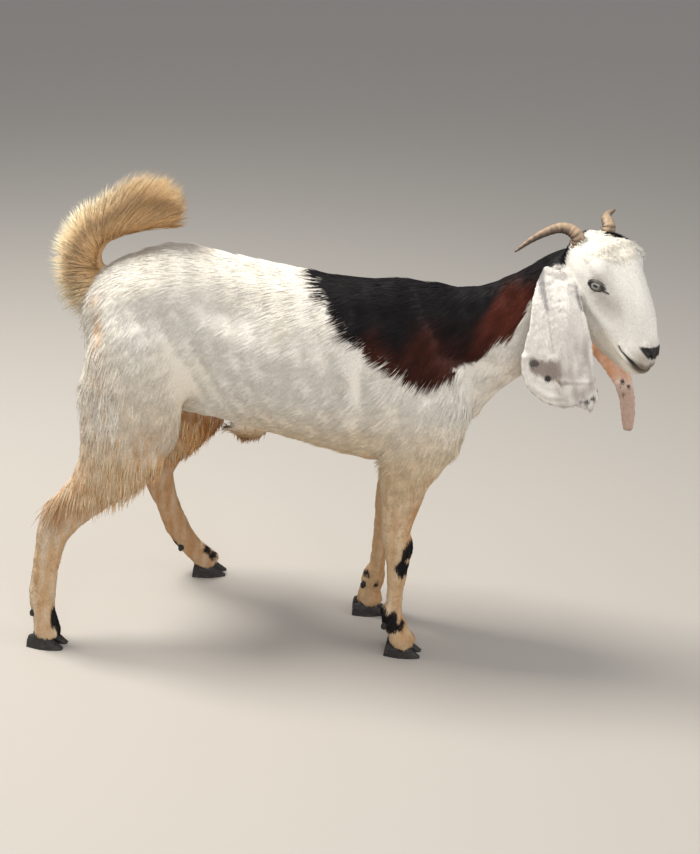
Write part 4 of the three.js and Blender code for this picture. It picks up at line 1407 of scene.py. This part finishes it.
wide = 1.3 * MM * rng.uniform(0.7, 1.3, count)
curl = np.interp(t, TAIL_STOPS, TAIL_CURL)[:, None] * ahead_of[i]
coats.append(grow(
    "tail_hair", uv_near(root), root, way, up, long_, wide, np.clip(base * shade, 0, 1),
    "cream_coat", rings=LONG, droop=0.03, wave=0.02, seed=22, curl=curl,
    tip=np.clip(ends * shade, 0, 1),
))  # fmt: skip

# %% [markdown]
# ## Feathers
# Long silky hair hangs from the buttocks down the back of the thighs, ending in ragged
# points above the hocks. It starts white and turns golden lower down. The locks have
# three rings, droop under their own weight and wave a little.

# %% Long hair of thighs, sheath and brow


def locks(
    name, count, weight, seed, long_mm, wide_mm, heading, colours,
    rings=SHORT, droop=0.05, rise=0.05, spread=0.06, sleek=0.0,
):
    """Long locks that grow where weight says, along a heading laid into the skin."""
    rng = np.random.default_rng(seed)
    seeds = scatter(count, weight, seed)
    root, up = at_seeds(points, seeds), at_seeds(normals, seeds)
    up /= np.linalg.norm(up, axis=1)[:, None]
    way = flattened(np.broadcast_to(np.asarray(heading, float), root.shape), up)
    side = np.cross(up, way)
    way = way + side * (spread * rng.normal(size=count) + 0.1 * ripple(root, 0.03, seed))[:, None]
    way = way + up * (rise * rng.uniform(0.3, 1.8, count))[:, None]
    way /= np.linalg.norm(way, axis=1)[:, None]
    start, end = colours(root, rng)
    shade = (1 + 0.08 * rng.normal(size=count) + 0.08 * ripple(root, 0.01, seed + 3))[:, None]
    uv = uv_at_seeds(seeds)
    length, width = rng.uniform(*long_mm, count) * MM, rng.uniform(*wide_mm, count) * MM
    start, end = np.clip(start * shade, 0, 1), np.clip(end * shade, 0, 1)
    return grow(
        name, uv, root, way, up, length, width, start, "white_coat",
        rings=rings, droop=droop, wave=0.03, seed=seed, tip=end, sleek=sleek,
    )  # fmt: skip

# %% The feathers


def feather_colours(root, rng):
    """White at the root, golden and rusty lower down."""
    low = ease(0.56 - root[:, 2], 0, 0.22)[:, None]
    far_leg = (root[:, 1] > 0)[:, None]
    golden = GOLD + (OCHRE - GOLD) * rng.random((len(root), 1))
    golden = np.where(rng.random((len(root), 1)) < 0.35 * low, RUST * 1.5, golden)
    start = WHITE + (golden - WHITE) * np.clip(low * 0.7 + 0.45 * far_leg * low, 0, 1)
    return start, start + (golden - start) * (0.15 + 0.75 * low)


x, y, z = points.T
hind_hair = np.clip(part["hind"] + part["trunk"], 0, 1)
rear_edge = ease(-normals[:, 0], 0.05, 0.55) * ease(z, 0.30, 0.34) * ease(0.665 - z, 0, 0.05)
rear_edge = rear_edge * ease(-x, 0.30, 0.36) * hind_hair
for name, count, mine, seed in (("right", 3800, y < 0, 31), ("left", 3000, y > 0, 32)):
    coats.append(locks(
        f"feather_{name}", count, rear_edge * mine, seed, (38, 74), (1.4, 2.2), (-0.10, 0, -1),
        feather_colours, rings=LONG, rise=0.03,
    ))  # fmt: skip

# %% Colours of the small locks


def plain(start, end):
    """Locks that run from one colour at the root to another at the tip."""

    def colours(root, _):
        return tuple(np.repeat(np.array(shade)[None], len(root), 0) for shade in (start, end))

    return colours


def streaky(root, rng):
    """White and golden locks side by side, more golden towards the hock."""
    ahead_share = ease(root[:, 0], -0.38, -0.28)[:, None]
    chance = 0.15 + 0.50 * ease(0.52 - root[:, 2], 0, 0.16)[:, None] + 0.35 * ahead_share
    golden = rng.random((len(root), 1)) < chance
    low = ease(0.53 - root[:, 2], 0, 0.11)[:, None]
    start = np.where(golden, CREAM + (TAN - CREAM) * ahead_share, WHITE + (CREAM - WHITE) * 0.85 * low)
    rusty = OCHRE + (RUST * 1.5 - OCHRE) * np.clip(ahead_share + 0.7 * low, 0, 1)
    golden_tip = GOLD + (rusty - GOLD) * rng.random((len(root), 1))
    return start, np.where(golden, golden_tip, start + (GOLD - start) * 0.55 * low)

# %% Where the small locks grow
near_side = ease(-normals[:, 1], 0.1, 0.5)
reach = ease(0.46 - z, 0, 0.05)
thigh_veil = ease(0.56 - z, 0, 0.06) * ease(z, 0.33, 0.36)
thigh_veil = thigh_veil * ease(-x, 0.36 - 0.11 * reach, 0.42 - 0.13 * reach) * near_side * hind_hair
far_fringe = ease(normals[:, 0], 0.0, 0.5) * ease(0.47 - z, 0, 0.03) * ease(z, 0.31, 0.36)
far_fringe = far_fringe * part["hind"] * (y > 0)
under_sheath = mound(points, (-0.180, 0, 0.424), (0.040, 0.03, 0.016)) * ease(-normals[:, 2], 0.2, 0.7)
pin_tufts = mound(points * (1, 0, 1), (-0.462, 0, 0.668), (0.020, 1, 0.030))
pin_tufts = pin_tufts * ease(-normals[:, 0], 0.2, 0.7)
brisket_hair = mound(points, (0.245, 0, 0.500), (0.030, 0.03, 0.040)) * ease(normals[:, 0], 0.2, 0.7)
s, l, n = face_places(points)[0].T
horn_tuft = mound(to_head(points), (0.014, 0.036, 0.004), (0.012, 0.013, 0.02))
wool = ease(0.074 - np.hypot(s, l * 1.15), 0, 0.006) * ease(s, -0.008, 0.002)
wool = wool * ease(n, -0.016, -0.006) * part["head"] * (1 - ease(horn_tuft, 0.25, 0.5))
brow_tuft = mound(to_head(points), (0.052, 0.045, 0.011), (0.010, 0.008, 0.012))

# %% Small locks
coats += [
    locks(
        "thigh_veil", 2300, thigh_veil, 41, (30, 60), (1.2, 1.9), (-0.12, 0, -1), streaky,
        rise=0.04, sleek=1.2,
    ),
    locks(
        "far_fringe", 700, far_fringe, 42, (22, 40), (1.2, 1.8), (-0.05, 0, -1),
        plain(RUST, RUST * 1.25),
    ),
    locks(
        "sheath_fringe", 320, under_sheath, 43, (12, 26), (1.0, 1.6), (-0.1, 0, -1),
        plain(TAN, TAN * 0.85), rise=0.25,
    ),
    locks(
        "pin_tufts", 260, pin_tufts, 44, (22, 34), (1.2, 1.8), (-0.6, 0, -0.8),
        plain(WHITE, WHITE), rise=0.25,
    ),
    locks(
        "brisket_hair", 260, brisket_hair, 45, (20, 32), (1.2, 1.8), (0.0, 0, -1),
        plain(CREAM, (CREAM + TAN) / 2), rise=0.12,
    ),
    locks(
        "forehead_wool", 2900, wool, 46, (9, 14), (0.8, 1.3), HEAD @ (1, 0, 0),
        plain(WHITE, WHITE * (1, 0.97, 0.90)), droop=0, rise=0.04, spread=0.12, sleek=2.2,
    ),
    locks(
        "horn_tuft", 420, horn_tuft, 47, (7, 11), (0.9, 1.4), HEAD @ (0.4, 0.3, 0.4),
        plain(BLACK * 1.5, BLACK * 1.5), droop=0, rise=0.45, spread=0.3,
    ),
    locks(
        "brow_tuft", 90, brow_tuft, 48, (11, 16), (1.1, 1.6), HEAD @ (0.5, 0.8, 0.3),
        plain(WHITE, WHITE), droop=0, rise=0.55, spread=0.3,
    ),
]  # fmt: skip

# %% [markdown]
# ## What hair is made of, to a renderer
# Goat hair is a dull fibre with a soft gloss. One group makes the fine grain that runs
# along the coat, and each coat material adds it to the colour its tufts carry. The
# skin shows through on nose, lids and lips, which are smoother and a little wet.

# %% Materials for hair and skin


def material(name):
    """A new material with its nodes and links at hand."""
    made = bpy.data.materials.new(name)
    made.use_nodes = True
    return made, made.node_tree.nodes, made.node_tree.links


def fur_grain_group():
    """Fine light and dark grain drawn out along the coat, as a tone and a height."""
    group = bpy.data.node_groups.new("fur_grain", "ShaderNodeTree")
    for name, kind, default in (("Place", "NodeSocketVector", None), ("Grain", "NodeSocketFloat", 300)):
        socket = group.interface.new_socket(name, in_out="INPUT", socket_type=kind)
        if default:
            socket.default_value = default
    group.interface.new_socket("Tone", in_out="OUTPUT", socket_type="NodeSocketFloat")
    group.interface.new_socket("Height", in_out="OUTPUT", socket_type="NodeSocketFloat")
    put, link = group.nodes.new, group.links.new
    given, out = put("NodeGroupInput"), put("NodeGroupOutput")
    noise = put("ShaderNodeTexNoise")
    noise.inputs["Detail"].default_value = 3
    link(given.outputs["Place"], noise.inputs["Vector"])
    link(given.outputs["Grain"], noise.inputs["Scale"])
    tone = put("ShaderNodeMapRange")
    tone.inputs["From Min"].default_value, tone.inputs["From Max"].default_value = 0.3, 0.7
    tone.inputs["To Min"].default_value, tone.inputs["To Max"].default_value = 0.86, 1.08
    link(noise.outputs["Fac"], tone.inputs["Value"])
    link(tone.outputs["Result"], out.inputs["Tone"])
    link(noise.outputs["Fac"], out.inputs["Height"])
    return group


GRAIN = fur_grain_group()


def coat_material(name, rough, gloss, grain, combed_grain=False):
    """A dull material that takes its colour from the mesh and its grain from the group."""
    made, nodes, links = material(name)
    shader = nodes["Principled BSDF"]
    colour = nodes.new("ShaderNodeAttribute")
    colour.attribute_name = "coat_colour"
    where = nodes.new("ShaderNodeTexCoord")
    fur = nodes.new("ShaderNodeGroup")
    fur.node_tree = GRAIN
    fur.inputs["Grain"].default_value = grain
    links.new(where.outputs["Object"], fur.inputs["Place"])
    if combed_grain:
        combed_at = nodes.new("ShaderNodeAttribute")
        combed_at.attribute_name = "combed"
        links.new(combed_at.outputs["Vector"], fur.inputs["Place"])
    toned = nodes.new("ShaderNodeVectorMath")
    toned.operation = "SCALE"
    links.new(colour.outputs["Color"], toned.inputs[0])
    links.new(fur.outputs["Tone"], toned.inputs["Scale"])
    links.new(toned.outputs["Vector"], shader.inputs["Base Color"])
    shader.inputs["Roughness"].default_value = rough
    shader.inputs["Specular IOR Level"].default_value = gloss
    return made, nodes, links, shader, fur

# %% Dress skin and coat
hair, *_ = coat_material("short_hair", 0.66, 0.14, 260)
for ob in coats:
    ob.data.materials.append(hair)
hide, nodes, links, shader, fur = coat_material("hide", 0.7, 0.3, 900, combed_grain=True)
wet = nodes.new("ShaderNodeAttribute")
wet.attribute_name = "bare"
rough = nodes.new("ShaderNodeMapRange")
rough.inputs["To Min"].default_value, rough.inputs["To Max"].default_value = 0.72, 0.40
links.new(wet.outputs["Fac"], rough.inputs["Value"])
links.new(rough.outputs["Result"], shader.inputs["Roughness"])
bump = nodes.new("ShaderNodeBump")
bump.inputs["Distance"].default_value = 0.0004
bump.inputs["Strength"].default_value = 0.4
links.new(fur.outputs["Height"], bump.inputs["Height"])
links.new(bump.outputs["Normal"], shader.inputs["Normal"])
skin_mesh.materials.clear()
skin_mesh.materials.append(hide)
print(len(bpy.data.materials), "materials")

# %% [markdown]
# ## Eyes
# A goat's eye is a pale iris with a level slit, under a clear bulging cornea. Each
# eye is a ball whose front is drawn out a little. The slit and the iris are painted by
# the place on the ball, kept as its own axes, so they turn with the head.

# %% Eyeballs


def eyeball(side):
    """A ball with a bulging front that keeps its own axes for the iris."""
    bm = bmesh.new()
    bmesh.ops.create_uvsphere(bm, u_segments=56, v_segments=36, radius=1)
    mesh = bpy.data.meshes.new("eye")
    bm.to_mesh(mesh)
    bm.free()
    ball = read_points(mesh)
    bulge = ease(ball[:, 2], 0.80, 1.0)
    mirror = np.array([1, side, 1])
    axes = np.column_stack([LEAN * mirror, BROW * mirror, GAZE * mirror])
    spots = from_head(EYE * mirror + (ball * (EYE_RADIUS * (1 + 0.05 * bulge))[:, None]) @ axes.T)
    place(mesh, spots + ORIGIN)
    keep_on(mesh, "gaze", "FLOAT_VECTOR", ball)
    bm = bmesh.new()
    bm.from_mesh(mesh)
    bmesh.ops.recalc_face_normals(bm, faces=bm.faces)
    for f in bm.faces:
        f.smooth = True
    bm.to_mesh(mesh)
    bm.free()
    word = "left" if side > 0 else "right"
    return new_piece(f"eyeball_{word}", mesh, "eye", f"eye_{word}")


def calculator(nodes, links):
    """A short way to chain sums in one material: calc("ADD", socket, 2)."""

    def calc(kind, *feeds):
        node = nodes.new("ShaderNodeMath")
        node.operation = kind
        for socket, feed in zip(node.inputs, feeds):
            if isinstance(feed, (int, float)):
                socket.default_value = feed
            else:
                links.new(feed, socket)
        return node.outputs[0]

    return calc


def ramp(nodes, links, factor, stops):
    """A colour for each value, smooth between the stops."""
    node = nodes.new("ShaderNodeValToRGB")
    band = node.color_ramp
    while len(band.elements) < len(stops):
        band.elements.new(0.5)
    for element, (at, colour) in zip(band.elements, stops):
        element.position, element.color = at, (*colour, 1)
    links.new(factor, node.inputs["Fac"])
    return node.outputs["Color"]

# %% Iris, slit and wet cornea
iris, nodes, links = material("eye")
shader = nodes["Principled BSDF"]
gaze = nodes.new("ShaderNodeAttribute")
gaze.attribute_name = "gaze"
axes = nodes.new("ShaderNodeSeparateXYZ")
links.new(gaze.outputs["Vector"], axes.inputs[0])
calc = calculator(nodes, links)
level, upright = calc("ABSOLUTE", axes.outputs[0]), calc("ABSOLUTE", axes.outputs[1])
radial = calc("SQRT", calc("ADD", calc("POWER", level, 2), calc("POWER", upright, 2)))
fibres = nodes.new("ShaderNodeTexNoise")
fibres.inputs["Scale"].default_value = 9
links.new(gaze.outputs["Vector"], fibres.inputs["Vector"])
speckled = calc("ADD", radial, calc("MULTIPLY", calc("SUBTRACT", fibres.outputs["Fac"], 0.5), 0.10))
iris_colour = ramp(nodes, links, speckled, [
    (0.0, (0.14, 0.13, 0.11)), (0.30, (0.225, 0.22, 0.20)), (0.52, (0.14, 0.135, 0.12)),
    (0.66, (0.018, 0.015, 0.014)), (1.0, (0.05, 0.035, 0.028)),
])  # fmt: skip
wide_share = calc("POWER", calc("DIVIDE", level, 0.34), 3)
tall_share = calc("POWER", calc("DIVIDE", upright, 0.16), 3)
slit = calc("ADD", wide_share, tall_share)
pupil = ramp(nodes, links, slit, [(0.80, (0, 0, 0)), (1.0, (1, 1, 1))])
both = nodes.new("ShaderNodeMix")
both.data_type = "RGBA"
links.new(pupil, both.inputs["Factor"])
both.inputs[6].default_value = (0.006, 0.006, 0.008, 1)  # the mix node's colour A
links.new(iris_colour, both.inputs[7])  # and its colour B
links.new(both.outputs[2], shader.inputs["Base Color"])
shader.inputs["Roughness"].default_value = 0.25
shader.inputs["Coat Weight"].default_value = 1.0
shader.inputs["Coat Roughness"].default_value = 0.03
for side in (-1, 1):
    ball = eyeball(side)
    ball.data.materials.append(iris)
    print(ball.name, len(ball.data.vertices), "vertices")

# %% [markdown]
# ## Horns
# A young buck's horns are ringed cones of keratin that sweep back and out. A circle is
# extruded along a smooth path and each station is drawn in or let out a little, which
# gives the growth rings. Colour runs from tan on top to dark below and at the tip.

# %% Ringed horns
HORN_PATH = {
    -1: [
        (14, 36, -28), (-1, 38, -12), (-18, 43, -14), (-30, 54, -24),
        (-34, 75, -40), (-33, 98, -57), (-28, 122, -73),
    ],
    1: [
        (14, 35, -28), (3, 38, -6), (-8, 43, -4), (-18, 52, -9),
        (-26, 68, -16), (-31, 88, -21), (-35, 109, -25),
    ],
}  # fmt: skip
STATIONS, HORN_SIDES, RINGS = 96, 28, 15


def horn(side):
    """A ringed cone swept along its path, thinner and smoother towards the tip."""
    path = np.array(HORN_PATH[side], float) * (1, side, 1) * MM
    path = from_head(smooth_path(path, STATIONS)) + ORIGIN
    t = np.linspace(0, 1, STATIONS)
    radius = ((1 - t) ** 0.7 * 11.5 + 1.4) * MM
    beat = t**0.85 * RINGS
    radius *= 1 + (0.035 * np.sin(6.28 * beat) + 0.02 * np.sin(6.28 * 2 * beat + 1)) * (1 - t) ** 0.5
    bm = bmesh.new()
    sweep(bm, path.tolist(), radius.tolist(), HORN_SIDES)
    bmesh.ops.recalc_face_normals(bm, faces=bm.faces)
    for f in bm.faces:
        f.smooth = len(f.verts) == 4
    mesh = bpy.data.meshes.new("horn")
    bm.to_mesh(mesh)
    bm.free()
    spots = read_points(mesh)
    _, t_here = along(spots, path[::4])
    below = -read_normals(mesh)[:, 2]
    keep_on(mesh, "horn_place", "FLOAT_VECTOR", np.column_stack([t_here, below, t_here**0.85 * RINGS]))
    word = "left" if side > 0 else "right"
    return new_piece(f"ringed_horn_{word}", mesh, "horn", f"horn_{word}")

# %% Horn material
keratin, nodes, links = material("horn")
shader = nodes["Principled BSDF"]
spot = nodes.new("ShaderNodeAttribute")
spot.attribute_name = "horn_place"
axes = nodes.new("ShaderNodeSeparateXYZ")
links.new(spot.outputs["Vector"], axes.inputs[0])
where = nodes.new("ShaderNodeTexCoord")
grain = nodes.new("ShaderNodeTexNoise")
grain.inputs["Scale"].default_value, grain.inputs["Detail"].default_value = 130, 4
links.new(where.outputs["Object"], grain.inputs["Vector"])
calc = calculator(nodes, links)
rings_ = calc("SINE", calc("MULTIPLY", axes.outputs[2], 6.28))
tone = calc("ADD", calc("MULTIPLY", axes.outputs[0], 0.42), calc("MULTIPLY", axes.outputs[1], 0.50))
tone = calc("ADD", tone, calc("MULTIPLY", calc("SUBTRACT", grain.outputs["Fac"], 0.5), 0.7))
tone = calc("ADD", tone, calc("MULTIPLY", rings_, -0.05))
horn_colour = ramp(nodes, links, calc("ADD", tone, 0.34), [
    (0.0, (0.47, 0.34, 0.22)), (0.22, (0.34, 0.24, 0.155)),
    (0.45, (0.16, 0.105, 0.068)), (0.75, (0.045, 0.030, 0.022)),
])  # fmt: skip
links.new(horn_colour, shader.inputs["Base Color"])
shader.inputs["Roughness"].default_value = 0.5
bump = nodes.new("ShaderNodeBump")
bump.inputs["Distance"].default_value = 0.0005
links.new(grain.outputs["Fac"], bump.inputs["Height"])
links.new(bump.outputs["Normal"], shader.inputs["Normal"])
for side in (-1, 1):
    ringed = horn(side)
    ringed.data.materials.append(keratin)
    print(ringed.name, len(ringed.data.vertices), "vertices")

# %% [markdown]
# ## Hooves
# Each foot ends in two claws with two small dewclaws behind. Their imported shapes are
# right but faceted, so a merged copy is remeshed finely and smoothed, which rounds
# the edges as wear does. Growth lines run level round the wall.

# %% Claws and dewclaws


def hoof(foot):
    """Both claws and dewclaws of a foot, with worn edges and growth lines."""
    nodes_here = [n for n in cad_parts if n.startswith(foot) and "claw" in n]
    whole = bmesh.new()
    for name in nodes_here:
        copy = merged_copy(name)
        part_mesh = bpy.data.meshes.new("part")
        copy.to_mesh(part_mesh)
        whole.from_mesh(part_mesh)
        copy.free()
    mesh = bpy.data.meshes.new("hoof")
    whole.to_mesh(mesh)
    whole.free()
    mesh = applied(mesh, ("REMESH", {"mode": "VOXEL", "voxel_size": 1.1 * MM, "use_smooth_shade": True}))
    spots, links_ = read_points(mesh), read_edges(mesh)
    ground = spots[:, 2] < 1.2 * MM
    spots = relax(spots, links_, 0.5 * (1 - 0.7 * ground), 5)
    spots[:, 0] += 3.5 * MM * ease(spots[:, 2], 0.048, 0.056)
    growth = 0.12 * MM * np.sin(spots[:, 2] / (1.1 * MM)) + 0.15 * MM * ripple(spots, 0.006, 9)
    place(mesh, spots)
    place(mesh, spots + read_normals(mesh) * (growth * (1 - ground))[:, None])
    return new_piece(f"hoof_{foot}", mesh, "hoof", *nodes_here)

# %% Hoof material
claw, nodes, links = material("hoof")
shader = nodes["Principled BSDF"]
where = nodes.new("ShaderNodeTexCoord")
axes = nodes.new("ShaderNodeSeparateXYZ")
links.new(where.outputs["Object"], axes.inputs[0])
dust = nodes.new("ShaderNodeTexNoise")
dust.inputs["Scale"].default_value, dust.inputs["Detail"].default_value = 90, 5
links.new(where.outputs["Object"], dust.inputs["Vector"])
calc = calculator(nodes, links)
bands_ = calc("MULTIPLY", calc("SINE", calc("MULTIPLY", axes.outputs[2], 1900)), 0.06)
worn = calc("SUBTRACT", 0.62, calc("MULTIPLY", axes.outputs[2], 14))
dusty = calc("SUBTRACT", dust.outputs["Fac"], 0.5)
tone = calc("ADD", calc("ADD", calc("MULTIPLY", worn, 0.5), bands_), dusty)
hoof_colour = ramp(nodes, links, tone, [
    (0.0, (0.010, 0.009, 0.008)), (0.35, (0.022, 0.019, 0.017)), (0.62, (0.10, 0.08, 0.062)),
])  # fmt: skip
links.new(hoof_colour, shader.inputs["Base Color"])
shader.inputs["Roughness"].default_value = 0.55
for foot in ("fore_left", "fore_right", "hind_left", "hind_right"):
    shod = hoof(foot)
    shod.data.materials.append(claw)
    print(shod.name, len(shod.data.vertices), "vertices")
